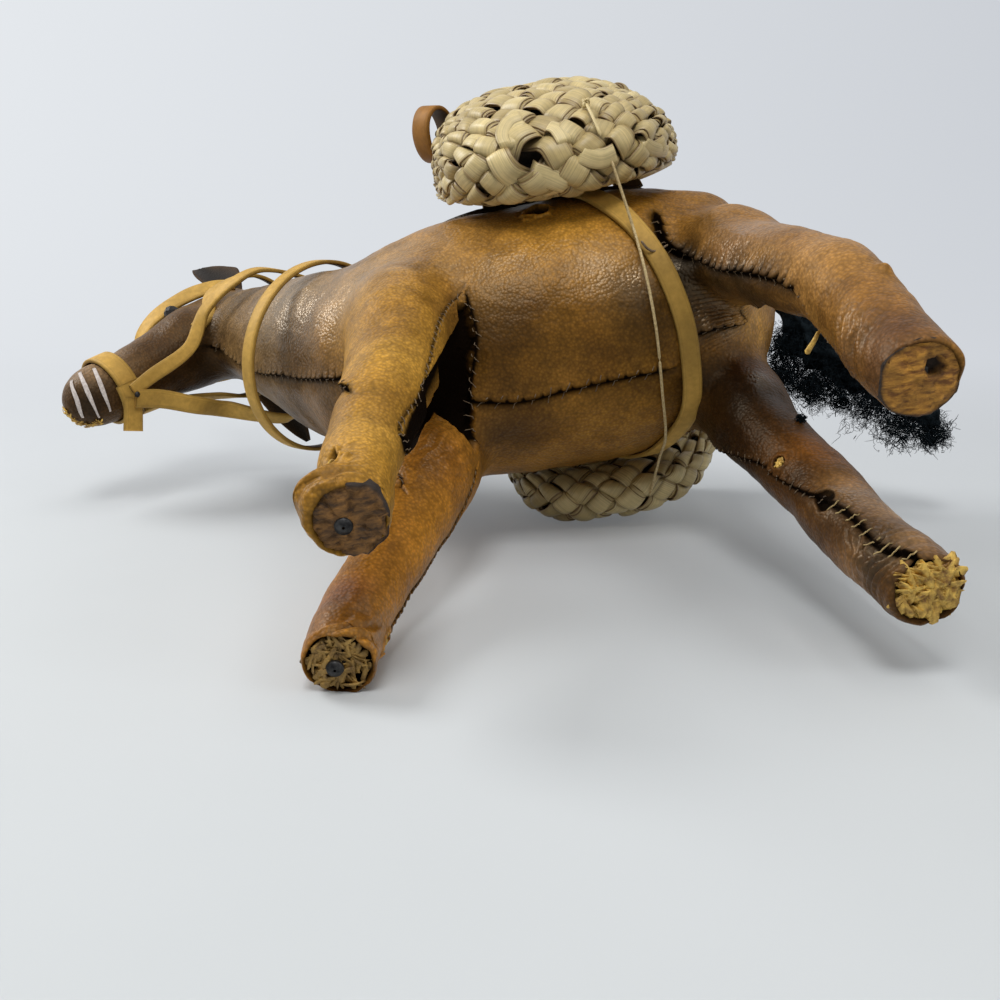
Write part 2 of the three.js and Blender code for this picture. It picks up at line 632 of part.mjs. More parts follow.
const LOOP_HALF_X = 6;
const LOOP_HALF_Y = 3;
const LOOP_WIDTH = 7;
const LOOP_SETBACK = 1; // behind the basket's front end
const LOOP_SHARE = 0.6; // share of the basket's width, out from its inner wall
const basketFront = basketPoint(baskets.left, -BASKET_END_SHARE, 0.5, 0).y;
const loopMiddle = V(
  basketWall + LEFT_BASKET_WIDTH * LOOP_SHARE,
  basketFront + LOOP_SETBACK,
  rim + SEAT_GAP + LOOP_WIDTH / 2,
);
const loopRows = steps(16, (t) => {
  const out = V(Math.cos(2 * Math.PI * t), Math.sin(2 * Math.PI * t), 0);
  const edge = loopMiddle.clone().add(V(LOOP_HALF_X * out.x, LOOP_HALF_Y * out.y, 0));
  return [-1, 1].map((s) => ({ place: edge.clone().add(V(0, 0, (s * LOOP_WIDTH) / 2)), out }));
}).slice(1);
add("basket_loop", sheet(loopRows, STRAP, true), STRIP);

// Palm thread under the belly, from the bottom of one basket to the other

const overGirth = SEAT_GAP + STRAP + SEAT_GAP + THREAD / 2;
const underBasket = (basket, y) =>
  basketPoint(basket, basketShare(basket, y), 0.5, 0).add(V(0, 0, -SEAT_GAP - THREAD / 2));
const threadRoute = [
  underBasket(baskets.left, 27.5),
  trunkSeat(29, 325, overGirth + 1).place,
  trunkSeat(30, 305, overGirth + 0.2).place,
  trunkSeat(31, 283, 1.2).place,
  trunkSeat(31, 257, 1.2).place,
  trunkSeat(31, 235, overGirth + 0.2).place,
  trunkSeat(30, 215, overGirth + 1).place,
  underBasket(baskets.right, 28),
];
add("belly_thread", rod(threadRoute, THREAD, 6, 30), PALM);

// Bridle

const NOSEBAND_SPAN = [NOSEBAND_AT - NOSEBAND_WIDTH / 2, NOSEBAND_AT + NOSEBAND_WIDTH / 2];
const nosebandRows = steps(24, (t) => NOSEBAND_SPAN.map((at) => head.seat(at, 360 * t))).slice(1);
add("noseband", sheet(nosebandRows, STRAP, true), STRIP);

const KEEPER_HALF_DEG = 18;
const keeperStand = SEAT_GAP + STRAP + SEAT_GAP;
const keeperRows = steps(6, (t) => {
  const degrees = 270 + KEEPER_HALF_DEG * (2 * t - 1);
  return [-1, 1].map((side) => head.seat(NOSEBAND_AT + (side * KEEPER_LENGTH) / 2, degrees, keeperStand));
});
add("noseband_keeper", sheet(keeperRows, STRAP), STRIP);

// Places on the head that keep their distance from the poll.
const fromPoll = (distance, degrees, stand) => head.seat(HEAD_LENGTH - distance, degrees, stand);

// Browband: from ear to ear round the forehead, standing off it
const browSide = [[8, 2, 0.5], [15, 16, 1.5], [23, 31, 2.5], [32, 47, 3], [38, 66, 2.4]];
const mirrored = (stations) =>
  [...stations].reverse().map(([at, degrees, stand]) => [at, 180 - degrees, stand]);
const browStations = [...browSide, [40, 90, 1.6], ...mirrored(browSide)].map((seat) => fromPoll(...seat));
add("browband", strap(browStations, BRIDLE_WIDTH, 36), STRIP);

// Headstall: from under the left jaw, over the nape, down to the noseband's right side
const headstallStations = [
  fromPoll(32, 315),
  fromPoll(27, 322, 1.6),
  neck.seat(4, 338, 2.4),
  neck.seat(8, 18, 3),
  neck.seat(9, 55, 1.8),
  neck.seat(9, 90, 0.8),
  neck.seat(9, 125, 1.8),
  neck.seat(8, 162, 3),
  neck.seat(10, 200, 3.4),
  fromPoll(33, 214, 3.6),
  fromPoll(44, 212, 1),
  head.seat(NOSEBAND_AT + NOSEBAND_WIDTH / 2 + 2 * SEAT_GAP, 209),
];
add("headstall", strap(headstallStations, BRIDLE_WIDTH, 48), STRIP);

// Rein: from the keeper round the neck and back, slack on the right
const reinFrom = NOSEBAND_AT + KEEPER_LENGTH / 2 + 4 * SEAT_GAP;
const reinStations = [
  head.seat(reinFrom, 285, keeperStand),
  fromPoll(39, 294, 3.8),
  neck.seat(14, 312, 4.5),
  neck.seat(19, 340, 4.2),
  neck.seat(22, 5, 3.6),
  neck.seat(25, 50, 1.6),
  neck.seat(25, 90, 0.8),
  neck.seat(25, 130, 1.6),
  neck.seat(26, 170, 3),
  neck.seat(28, 200, 4.5),
  neck.seat(17, 230, 8),
  fromPoll(43, 243, 7),
  head.seat(reinFrom, 255, keeperStand),
];
add("rein", strap(reinStations, BRIDLE_WIDTH, 48), STRIP);

// Neck strap: a loose loop that rests on the crest and hangs off the chest

const NECK_STRAP_LEAN_DEG = 52.5; // slope of the loop above level
const NECK_STRAP_HALF = 25.3;
const NECK_STRAP_REACH = 28;
const neckStrapUp = V(0, Math.cos(rad(NECK_STRAP_LEAN_DEG)), Math.sin(rad(NECK_STRAP_LEAN_DEG)));
const neckStrapTop = neck.point(NECK_LENGTH - 28, 90, SEAT_GAP);
const neckStrapMiddle = neckStrapTop.clone().addScaledVector(neckStrapUp, -NECK_STRAP_REACH);
const neckStrapAcross = V(1, 0, 0).cross(neckStrapUp);
const neckStrapRows = steps(28, (t) => {
  const [side, rise] = [Math.cos(2 * Math.PI * t), Math.sin(2 * Math.PI * t)];
  const edge = neckStrapMiddle.clone().addScaledVector(neckStrapUp, NECK_STRAP_REACH * rise);
  edge.x = NECK_STRAP_HALF * side;
  const out = V(side / NECK_STRAP_HALF, 0, 0).addScaledVector(neckStrapUp, rise / NECK_STRAP_REACH);
  out.normalize();
  const offsets = [-BRIDLE_WIDTH / 2, BRIDLE_WIDTH / 2];
  return offsets.map((w) => ({ place: edge.clone().addScaledVector(neckStrapAcross, w), out }));
}).slice(1);
add("neck_strap", sheet(neckStrapRows, STRAP, true), STRIP);

// The origin lies on the ground under the middle of the whole figure

const bounds = new THREE.Box3().setFromObject(figure);
const centre = bounds.getCenter(V(0, 0, 0));
figure.position.set(-centre.x, -centre.y, -bounds.min.z);

export default figure;
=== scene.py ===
import json
import math
import random

import bmesh
import bpy
import numpy as np
from mathutils import Matrix, Vector, noise
from mathutils.bvhtree import BVHTree
from mathutils.kdtree import KDTree

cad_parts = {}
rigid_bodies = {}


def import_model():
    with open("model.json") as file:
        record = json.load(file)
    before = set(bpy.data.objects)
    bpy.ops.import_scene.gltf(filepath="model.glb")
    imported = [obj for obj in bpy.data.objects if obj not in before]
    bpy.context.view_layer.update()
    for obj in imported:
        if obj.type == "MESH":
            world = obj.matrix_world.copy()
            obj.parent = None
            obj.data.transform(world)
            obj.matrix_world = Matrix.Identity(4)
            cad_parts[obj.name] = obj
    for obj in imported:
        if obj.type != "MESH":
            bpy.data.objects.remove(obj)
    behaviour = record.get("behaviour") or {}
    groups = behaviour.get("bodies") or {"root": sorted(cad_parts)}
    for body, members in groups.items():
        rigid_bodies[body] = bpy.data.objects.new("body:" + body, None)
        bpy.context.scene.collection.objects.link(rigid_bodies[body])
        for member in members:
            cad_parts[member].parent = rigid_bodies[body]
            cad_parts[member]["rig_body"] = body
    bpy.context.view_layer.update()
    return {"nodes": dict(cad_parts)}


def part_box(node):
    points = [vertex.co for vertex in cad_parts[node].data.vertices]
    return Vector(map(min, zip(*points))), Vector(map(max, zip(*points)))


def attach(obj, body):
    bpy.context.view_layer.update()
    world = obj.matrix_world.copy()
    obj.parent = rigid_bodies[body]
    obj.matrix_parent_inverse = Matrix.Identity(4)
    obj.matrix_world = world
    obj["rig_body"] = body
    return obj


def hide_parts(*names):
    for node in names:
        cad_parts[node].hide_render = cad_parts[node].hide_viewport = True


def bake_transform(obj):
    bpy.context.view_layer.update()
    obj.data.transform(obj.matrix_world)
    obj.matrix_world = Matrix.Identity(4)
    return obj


# Pack donkey figure: hide sewn over straw and wire, a bridle and girth of leather strips, and two
# plaited palm baskets. Lengths are millimetres in the animal's own frame: +X left, -Y forward, +Z up.

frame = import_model()
chance = random.Random(7)
dice = np.random.default_rng(11)

# Driving sizes, as in the part
MM = 0.001
SEAM_GAP = 0.3
SEAT_GAP = 0.3
STRAP = 1.2
PAD = 1.6
BELLY = 80
TRUNK_HEIGHT = 72
TRUNK_HALF = 35
CHEST_Y = -60
RUMP_Y = 71.5
NECK_LENGTH = 73
NECK_RISE_DEG = 47
NECK_HALF = 24.5
NECK_TIP_HALF = 13
HEAD_LENGTH = 75
HEAD_DROP_DEG = 47.5
HEAD_TURN_DEG = 1.8
POLL_BACK = 6
POLL_UP = 14
CHEEK_HALF = 13
MUZZLE_HALF = 9.2
SOLE_RADIUS = 7.4
KNEE_RADIUS = 10.6
HOCK_RADIUS = 8.5
THIGH_RADIUS = 9.4
FORE_ROOT_RADIUS = 15
HIND_ROOT_RADIUS = 11.5
EAR_LENGTH = 34.5
EAR_WIDTH = 14
EAR_HIDE = 1.4
EAR_CUP = 2.2
TURN_GAP = 0.6
TAIL_ROOT_RADIUS = 3.4
TAIL_STAND = 3
TAIL_RADIUS = 10
GIRTH_WIDTH = 6.2
GIRTH_Y = 39
GIRTH_LEAN = 0.5
BACK_STRAP_WIDTH = 7
BACK_STRAP_SPREAD = 36
BACK_STRAP_END_DEG = 40
BRIDLE_WIDTH = 4
NOSEBAND_WIDTH = 6.4
NOSEBAND_AT = 16
KEEPER_LENGTH = 7.5
PAD_LENGTH = 70
PAD_Y = 14
PAD_EDGE_DEG = 24
BASKET_LENGTH = 66
LEFT_BASKET_WIDTH = 24
RIGHT_BASKET_WIDTH = 18.5
BASKET_DEPTH = 48
LEFT_BASKET_Y = 18
RIGHT_BASKET_Y = 23.5
BASKET_TUCK = 3.5
BASKET_DROP = 6
THREAD = 1.0

trunk_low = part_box("trunk_hide_left")[0]
SHIFT = np.array([trunk_low.x / MM - SEAM_GAP / 2, trunk_low.y / MM - CHEST_Y, 0])

# Camera: where the photograph was taken from, and its three directions
FOCAL = 1072  # pixels
PICTURE = 1000  # pixels across
EYE = np.array([93.03, -8.20, -161.07])
RIGHT = np.array([-0.1561, 0.9858, -0.0623])
UP = np.array([0.8799, 0.1675, 0.4447])
BACK = np.array([0.4488, 0.0146, -0.8935])


def world(points):
    return (np.asarray(points, float) + SHIFT) * MM


def unit(vectors):
    vectors = np.asarray(vectors, float)
    return vectors / np.maximum(np.linalg.norm(vectors, axis=-1, keepdims=True), 1e-9)


def lerp(a, b, t):
    return a + (b - a) * t


def smooth(low, high, x):
    t = np.clip((np.asarray(x, float) - low) / (high - low), 0, 1)
    return t * t * (3 - 2 * t)


def far(points, place):
    return np.linalg.norm(points - place, axis=-1)


def near(points, place, radius):
    """A share that is 1 at a place and falls away over about a radius."""
    return np.exp(-(far(points, place) / radius) ** 2)


def run_along(points):
    """The run along a line from its first point to each."""
    return np.concatenate([[0], np.cumsum(np.linalg.norm(np.diff(points, axis=0), axis=1))])


def ring_ways(first, second, sides, flat=1.0):
    """The ways round each point of a line, from two directions square to it."""
    turns = np.arange(sides) * 2 * math.pi / sides
    return (np.cos(turns)[None, :, None] * first[:, None]
            + flat * np.sin(turns)[None, :, None] * second[:, None])


def noise_line(x, y, z):
    """An uneven value at each of several x."""
    return np.array([noise.noise(Vector((value, y, z))) for value in x])


def square_to(way):
    """Two directions square to one."""
    first = unit(np.cross(way, (0.3, 0.7, 0.2)))
    return first, np.cross(way, first)


# Forms

def through(pairs, position):
    """A smooth value through pairs of (position, value), held level past both ends."""
    last = len(pairs) - 1
    if position <= pairs[0][0]:
        return pairs[0][1]
    if position >= pairs[last][0]:
        return pairs[last][1]

    def slope(k):
        x0, y0 = pairs[max(k - 1, 0)]
        x1, y1 = pairs[min(k + 1, last)]
        return (y1 - y0) / (x1 - x0)

    i = next(k for k, pair in enumerate(pairs) if pair[0] > position) - 1
    span = pairs[i + 1][0] - pairs[i][0]
    t = (position - pairs[i][0]) / span
    bulge = span * t * (1 - t) * ((1 - t) * slope(i) - t * slope(i + 1))
    return lerp(pairs[i][1], pairs[i + 1][1], t * t * (3 - 2 * t)) + bulge


def curve(points, shares):
    """Points on a smooth curve, at shares from 0 to 1 of its stations."""
    p = np.asarray(points, float)
    p = np.vstack([2 * p[0] - p[1], p, 2 * p[-1] - p[-2]])
    x = np.clip(np.asarray(shares, float), 0, 1) * (len(p) - 3)
    i = np.minimum(x.astype(int), len(p) - 4)
    t = (x - i)[:, None]
    a, b, c, d = p[i], p[i + 1], p[i + 2], p[i + 3]
    m, n = (c - a) / 2, (d - b) / 2
    square, cube = t * t, t * t * t
    return ((2 * cube - 3 * square + 1) * b + (cube - 2 * square + t) * m
            + (3 * square - 2 * cube) * c + (cube - square) * n)


def even(points, pitch):
    """The same line with points every pitch along it."""
    p = np.asarray(points, float)
    run = run_along(p)
    stops = np.linspace(0, run[-1], max(int(round(run[-1] / pitch)), 2) + 1)
    return np.stack([np.interp(stops, run, p[:, k]) for k in range(p.shape[1])], axis=1)


def grid_faces(rows, columns, wrap=False):
    i = np.arange(rows - 1)[:, None] * columns
    j = np.arange(columns if wrap else columns - 1)[None, :]
    k = (j + 1) % columns
    return np.stack([i + j, i + k, i + columns + k, i + columns + j], axis=-1).reshape(-1, 4)


class Spindle:
    """A straight form: rows of (distance, half width, half height, lift), back from its front end.
    Angles run in degrees from the animal's left, over its top, to its right."""

    def __init__(self, front, along, rows):
        self.front, self.along, self.rows = np.array(front, float), np.array(along, float), rows
        self.length = rows[-1][0]
        self.left = unit(np.array([1, 0, 0]) - self.along[0] * self.along)
        self.up = np.cross(self.left, self.along)

    def size(self, distance, column):
        return through([(row[0], row[column]) for row in self.rows], distance)

    def point(self, distance, degrees, grow=0.0):
        turn = np.radians(np.asarray(degrees, float))[..., None]
        middle = self.front + self.along * lerp(-grow, self.length + grow, distance / self.length)
        wide = (self.size(distance, 1) + grow) * np.cos(turn)
        high = (self.size(distance, 2) + grow) * np.sin(turn) + self.size(distance, 3)
        return middle + wide * self.left + high * self.up

    def out(self, distance, degrees):
        turn = math.radians(degrees)
        wide, high = self.size(distance, 1), self.size(distance, 2)
        return unit(self.left * math.cos(turn) / wide + self.up * math.sin(turn) / high)

    def seat(self, distance, degrees, stand=SEAT_GAP):
        return self.point(distance, degrees, stand), self.out(distance, degrees)

    def rings(self, pitch, sides):
        turns = np.arange(sides) * 360 / sides
        stops = np.linspace(0, self.length, int(self.length / pitch) + 1)
        return np.array([self.point(stop, turns) for stop in stops])


class Limb:
    """A bent form: rows of (x, y, z, half) along a smooth curve, with round sections."""

    def __init__(self, rows):
        self.stations = np.array(rows, float)

    def line(self, shares):
        return curve(self.stations, shares)

    def rings(self, count, sides, start=0.0):
        shares = np.linspace(start, 1, count)
        line = self.line(shares)
        along = unit(self.line(shares + 1e-4)[:, :3] - self.line(shares - 1e-4)[:, :3])
        along[-1], along[0] = along[-2], along[1]
        left = unit(np.array([1, 0, 0]) - along[:, :1] * along)
        return line[:, None, :3] + line[:, None, 3:] * ring_ways(left, np.cross(along, left), sides)


MIDDLE = BELLY + TRUNK_HEIGHT / 2
SPINE_Z = BELLY + TRUNK_HEIGHT
trunk = Spindle((0, CHEST_Y, MIDDLE), (0, 1, 0), [
    (y - CHEST_Y, TRUNK_HALF * wide, TRUNK_HEIGHT / 4 * (above + below), TRUNK_HEIGHT / 4 * (above - below))
    for y, wide, above, below in [
        (CHEST_Y, 0.05, 0.03, 0.08),
        (CHEST_Y + 5, 0.49, 0.53, 0.5),
        (CHEST_Y + 16, 0.74, 0.83, 0.79),
        (CHEST_Y + 38, 0.94, 0.98, 0.96),
        ((CHEST_Y + RUMP_Y) / 2, 1, 1, 1),
        (RUMP_Y - 40, 0.985, 0.97, 0.93),
        (RUMP_Y - 20, 0.83, 0.89, 0.69),
        (RUMP_Y - 7, 0.54, 0.69, 0.39),
        (RUMP_Y, 0.05, 0.22, -0.14),
    ]
])

rise = math.radians(NECK_RISE_DEG)
neck_along = np.array([0, math.cos(rise), -math.sin(rise)])
neck_tip = np.array([0, CHEST_Y + 24, SPINE_Z - 33]) - NECK_LENGTH * neck_along
neck = Spindle(neck_tip, neck_along, [
    (0, NECK_TIP_HALF, NECK_TIP_HALF, 0),
    (NECK_LENGTH - 42, lerp(NECK_TIP_HALF, NECK_HALF, 0.5), lerp(NECK_TIP_HALF, NECK_HALF, 0.55), 0),
    (NECK_LENGTH - 15, NECK_HALF, NECK_HALF + 1, 0),
    (NECK_LENGTH, NECK_HALF, NECK_HALF + 1, 0),
])

fall, turn = math.radians(HEAD_DROP_DEG), math.radians(HEAD_TURN_DEG)
head_along = unit(np.array([math.sin(turn), math.cos(fall), math.sin(fall)]))
poll = neck_tip + np.array([0, POLL_BACK, POLL_UP])
head = Spindle(poll - HEAD_LENGTH * head_along, head_along, [
    (0, 2.5, 2.3, 0),
    (4, MUZZLE_HALF - 2, MUZZLE_HALF - 2.4, 0),
    (11, MUZZLE_HALF, MUZZLE_HALF - 0.4, 0),
    (NOSEBAND_AT, MUZZLE_HALF - 0.3, MUZZLE_HALF, 0),
    (HEAD_LENGTH - 44, lerp(MUZZLE_HALF, CHEEK_HALF, 0.15), lerp(MUZZLE_HALF, CHEEK_HALF, 0.4), 0),
    (HEAD_LENGTH - 28, CHEEK_HALF - 0.7, CHEEK_HALF + 0.6, 0),
    (HEAD_LENGTH - 14, CHEEK_HALF, CHEEK_HALF + 1, 0),
    (HEAD_LENGTH - 4, CHEEK_HALF - 2, CHEEK_HALF - 1.5, 0),
    (HEAD_LENGTH, CHEEK_HALF - 7, CHEEK_HALF - 7, 0),
])

FORE_HALVES = [
    SOLE_RADIUS, SOLE_RADIUS, SOLE_RADIUS + 0.4, KNEE_RADIUS, FORE_ROOT_RADIUS - 1, FORE_ROOT_RADIUS,
]
HIND_HALVES = [
    SOLE_RADIUS, SOLE_RADIUS + 0.3, HOCK_RADIUS - 0.4, HOCK_RADIUS, THIGH_RADIUS, HIND_ROOT_RADIUS,
    HIND_ROOT_RADIUS - 1,
]
LEG_ROUTES = {
    "left_fore": [(12.8, -36.5, -0.08), (12.6, -36.5, 0.12), (13, -35.5, 0.36), (16, -30, 0.75),
                  (17.5, -28, 1.1), (15, -27, 1.4)],
    "right_fore": [(-15.8, -45, -0.08), (-15.8, -44, 0.12), (-15.4, -38, 0.4), (-13.5, -30, 0.75),
                   (-16, -27, 1.1), (-15, -27, 1.4)],
    "left_hind": [(20.5, 60.6, -0.08), (21.5, 61, 0.12), (24, 61.5, 0.36), (25, 61, 0.57),
                  (23.5, 57, 0.835), (22.5, 53.8, 1.1), (17.5, 50.8, 1.34)],
    "right_hind": [(-20.8, 63, -0.08), (-22, 62.5, 0.12), (-24, 60.5, 0.38), (-22.5, 58.5, 0.6),
                   (-19.5, 54.5, 0.86), (-17, 52, 1.08), (-13, 50, 1.32)],
}
legs = {}
for leg_name, route in LEG_ROUTES.items():
    halves = FORE_HALVES if leg_name.endswith("fore") else HIND_HALVES
    legs[leg_name] = Limb([(x, y, share * BELLY, half) for (x, y, share), half in zip(route, halves)])


def sole_share(limb):
    """The share of a leg's line where it crosses the ground."""
    shares = np.linspace(0, 0.5, 2001)
    return shares[np.argmin(np.abs(limb.line(shares)[:, 2]))]


soles = {name: limb.line([sole_share(limb)])[0, :3] for name, limb in legs.items()}


# Building pieces

def add_layer(mesh, name, values):
    """A number or a colour at each point of a mesh."""
    kind, key = ("FLOAT", "value") if values.ndim == 1 else ("FLOAT_COLOR", "color")
    if values.ndim == 2:
        values = np.hstack([values, np.ones((len(values), 1))])
    field = mesh.attributes.get(name) or mesh.attributes.new(name, kind, "POINT")
    field.data.foreach_set(key, values.ravel().astype(np.float32))


def shown(mesh, name, finish, body, nodes=()):
    """A mesh in metres as a piece that stands for nodes of the part, and rides on a body if one is given."""
    mesh.polygons.foreach_set("use_smooth", [True] * len(mesh.polygons))
    mesh.materials.clear()
    mesh.materials.append(finish)
    mesh.update()
    made = bpy.data.objects.new(name, mesh)
    bpy.context.scene.collection.objects.link(made)
    if body:
        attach(made, body)
    if nodes:
        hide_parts(*nodes)
    return made


class Build:
    """Gathers the points, faces and per-point values of one piece."""

    def __init__(self):
        self.points, self.faces, self.layers, self.count = [], [], {}, 0

    def add(self, points, faces, **layers):
        points = np.asarray(points, float).reshape(-1, 3)
        self.points.append(points)
        if isinstance(faces, np.ndarray):
            faces = faces.tolist()
        self.faces += [[i + self.count for i in face] for face in faces]
        for name, values in layers.items():
            values = np.broadcast_to(np.asarray(values, float), (len(points),) + np.shape(values)[1:])
            self.layers.setdefault(name, []).append(values)
        self.count += len(points)

    def cap(self, *rings):
        """Closes rings of points, given by their numbers."""
        for ring in rings:
            self.faces.append([int(i) for i in ring])

    def piece(self, name, finish, body, slot=None, nodes=()):
        mesh = bpy.data.meshes.new(name)
        mesh.from_pydata(world(np.vstack(self.points)).tolist(), [], self.faces)
        for layer, parts in self.layers.items():
            add_layer(mesh, layer, np.concatenate(parts))
        return shown(mesh, name, finish, body, nodes)


def transported(line):
    """Two directions square to a line, carried along it without twisting."""
    along = unit(np.gradient(line, axis=0))
    side = np.zeros_like(along)
    side[0] = unit(np.cross(along[0], (0.3, 0.5, 0.8)))
    for i in range(1, len(line)):
        side[i] = unit(side[i - 1] - along[i] * side[i - 1].dot(along[i]))
    return side, np.cross(along, side)


TUBE_END = 0.3  # share of a tube's radius that is left at its ends


def tube(line, radius, sides=6, flat=1.0):
    """A round tube with drawn-in ends; flat squeezes it across one direction."""
    line = np.asarray(line, float)
    side, other = transported(line)
    radius = np.broadcast_to(np.asarray(radius, float), (len(line),)).copy()
    radius[[0, -1]] *= TUBE_END
    points = line[:, None] + radius[:, None, None] * ring_ways(side, other, sides, flat)
    return points.reshape(-1, 3), grid_faces(len(line), sides, wrap=True)


# A strip's section: (across, height), both as shares of the half width and of the thickness
STRIP_SECTION = [(-1, 0.25), (-1, 0.75), (-0.9, 0.97), (-0.45, 1), (0.45, 1), (0.9, 0.97), (1, 0.75),
                 (1, 0.25), (0.9, 0.03), (0, 0), (-0.9, 0.03)]


STRIP_WOBBLE = 0.11  # how often a strip's width wanders, per millimetre


def strip(build, line, outs, width, thickness=STRAP, closed=False, edge=0.0, stain=0.0):
    """A leather strip along a line of places, with the way off the surface and the painted shade at each;
    edge is the share by which its width wanders."""
    line, outs = np.asarray(line, float), np.asarray(outs, float)
    if closed:
        along = unit(np.roll(line, -1, axis=0) - np.roll(line, 1, axis=0))
    else:
        along = unit(np.gradient(line, axis=0))
    outs = unit(outs - along * (outs * along).sum(1, keepdims=True))
    across = np.cross(along, outs)
    run = run_along(line)
    wobble = noise_line(STRIP_WOBBLE * run, 3.7 * np.mean(width), 0)
    half = np.broadcast_to(width, len(line)) / 2 * (1 + edge * wobble)
    section = np.array(STRIP_SECTION)
    points = (line[:, None] + (half[:, None] * section[:, 0])[:, :, None] * across[:, None]
              + thickness * section[None, :, 1, None] * outs[:, None])
    rows, columns = len(line), len(section)
    if closed:
        points = np.concatenate([points, points[:1]])
        run = np.append(run, run[-1])
        rows += 1
    layers = {
        "across": np.tile(section[:, 0], rows),
        "under": np.tile((section[:, 1] < 0.2).astype(float), rows),
        "along": np.repeat(run, columns),
        "stain": np.repeat(np.broadcast_to(stain, rows), columns),
    }
    start = build.count
    build.add(points, grid_faces(rows, columns, wrap=True)[:, ::-1], **layers)
    if not closed:
        ring = np.arange(columns) + start
        build.cap(ring[::-1], ring + (rows - 1) * columns)


def strip_piece(name, line, outs, width, finish, body="donkey", nodes=None, **looks):
    """A piece of one strip, which stands for the node of its name unless others are given."""
    build = Build()
    strip(build, line, outs, width, **looks)
    build.piece(f"{name}_strip", finish, body, "strap", [name] if nodes is None else nodes)


def tube_piece(name, line, radius, sides, finish, body, slot, nodes=(), flat=1.0):
    build = Build()
    build.add(*tube(line, radius, sides, flat))
    return build.piece(name, finish, body, slot, nodes)


def skin_faces(rows, columns):
    """Faces of a sheet from two grids of points, one over the other, closed round the edge."""
    under = np.arange(rows * columns).reshape(rows, columns)
    over = rows * columns
    faces = grid_faces(rows, columns).tolist() + (grid_faces(rows, columns)[:, ::-1] + over).tolist()
    ring = [*under[0], *under[1:, -1], *under[-1, -2::-1], *under[-2:0:-1, 0]]
    for a, b in zip(ring, ring[1:] + ring[:1]):
        faces.append([int(b), int(a), int(a + over), int(b + over)])
    return faces


# Finishes

class Finish:
    """A material with a principled shader, and short ways to add nodes to it."""

    def __init__(self, name):
        self.material = bpy.data.materials.new(name)
        self.material.use_nodes = True
        self.tree = self.material.node_tree
        self.shader = next(n for n in self.tree.nodes if n.type == "BSDF_PRINCIPLED")

    def node(self, kind, sockets=(), **settings):
        made = self.tree.nodes.new("ShaderNode" + kind)
        for key, value in settings.items():
            setattr(made, key, value)
        for key, value in dict(sockets).items():
            self.put(made.inputs[key], value)
        return made

    def put(self, socket, value):
        if isinstance(value, bpy.types.NodeSocket):
            self.tree.links.new(value, socket)
        else:
            socket.default_value = value

    def layer(self, name, output="Fac"):
        return self.node("Attribute", attribute_name=name).outputs[output]

    def place(self):
        return self.node("TexCoord").outputs["Object"]

    def noise(self, scale, detail=3.0, roughness=0.55, vector=None):
        """A cloudy value; scale is per metre."""
        sockets = {"Vector": vector or self.place(), "Scale": scale, "Detail": detail, "Roughness": roughness}
        return self.node("TexNoise", sockets).outputs["Fac"]

    def math(self, operation, a, b=0.0):
        return self.node("Math", {0: a, 1: b}, operation=operation).outputs[0]

    def ramp(self, value, stops):
        """A value or colour through stops of (position, value or colour)."""
        made = self.node("ValToRGB", {"Fac": value})
        points = made.color_ramp.elements
        while len(points) < len(stops):
            points.new(0.5)
        for point, (at, colour) in zip(points, stops):
            point.position = at
            point.color = (*colour, 1) if hasattr(colour, "__len__") else (colour, colour, colour, 1)
        return made.outputs["Color"]

    def mix(self, share, a, b, kind="MIX"):
        made = self.node("Mix", data_type="RGBA", blend_type=kind)
        self.put(made.inputs[0], share)
        for socket, value in ((made.inputs[6], a), (made.inputs[7], b)):
            self.put(socket, (*value, 1) if isinstance(value, tuple) and len(value) == 3 else value)
        return made.outputs[2]

    def vary(self, colour, value, stops):
        """A colour that a value makes darker or lighter, by stops of (position, factor)."""
        return self.mix(1.0, colour, self.ramp(value, stops), "MULTIPLY")

    def darkened_towards(self, colour, share, strength, stain):
        """A colour drawn towards a second colour where a share says so, for stains and for painted shade."""
        return self.mix(self.math("MULTIPLY", share, strength), colour, stain)

    def bump(self, height, strength, depth, under=None):
        sockets = {"Height": height, "Strength": strength, "Distance": depth * MM}
        if under:
            sockets["Normal"] = under
        return self.node("Bump", sockets).outputs["Normal"]

    def set(self, **sockets):
        for key, value in sockets.items():
            self.put(self.shader.inputs[key.replace("_", " ")], value)
        return self.material


WARM = (1.0, 0.8, 0.55, 1)  # tint of the leather's shine


def toned(colour, share):
    return tuple(share * part for part in colour)


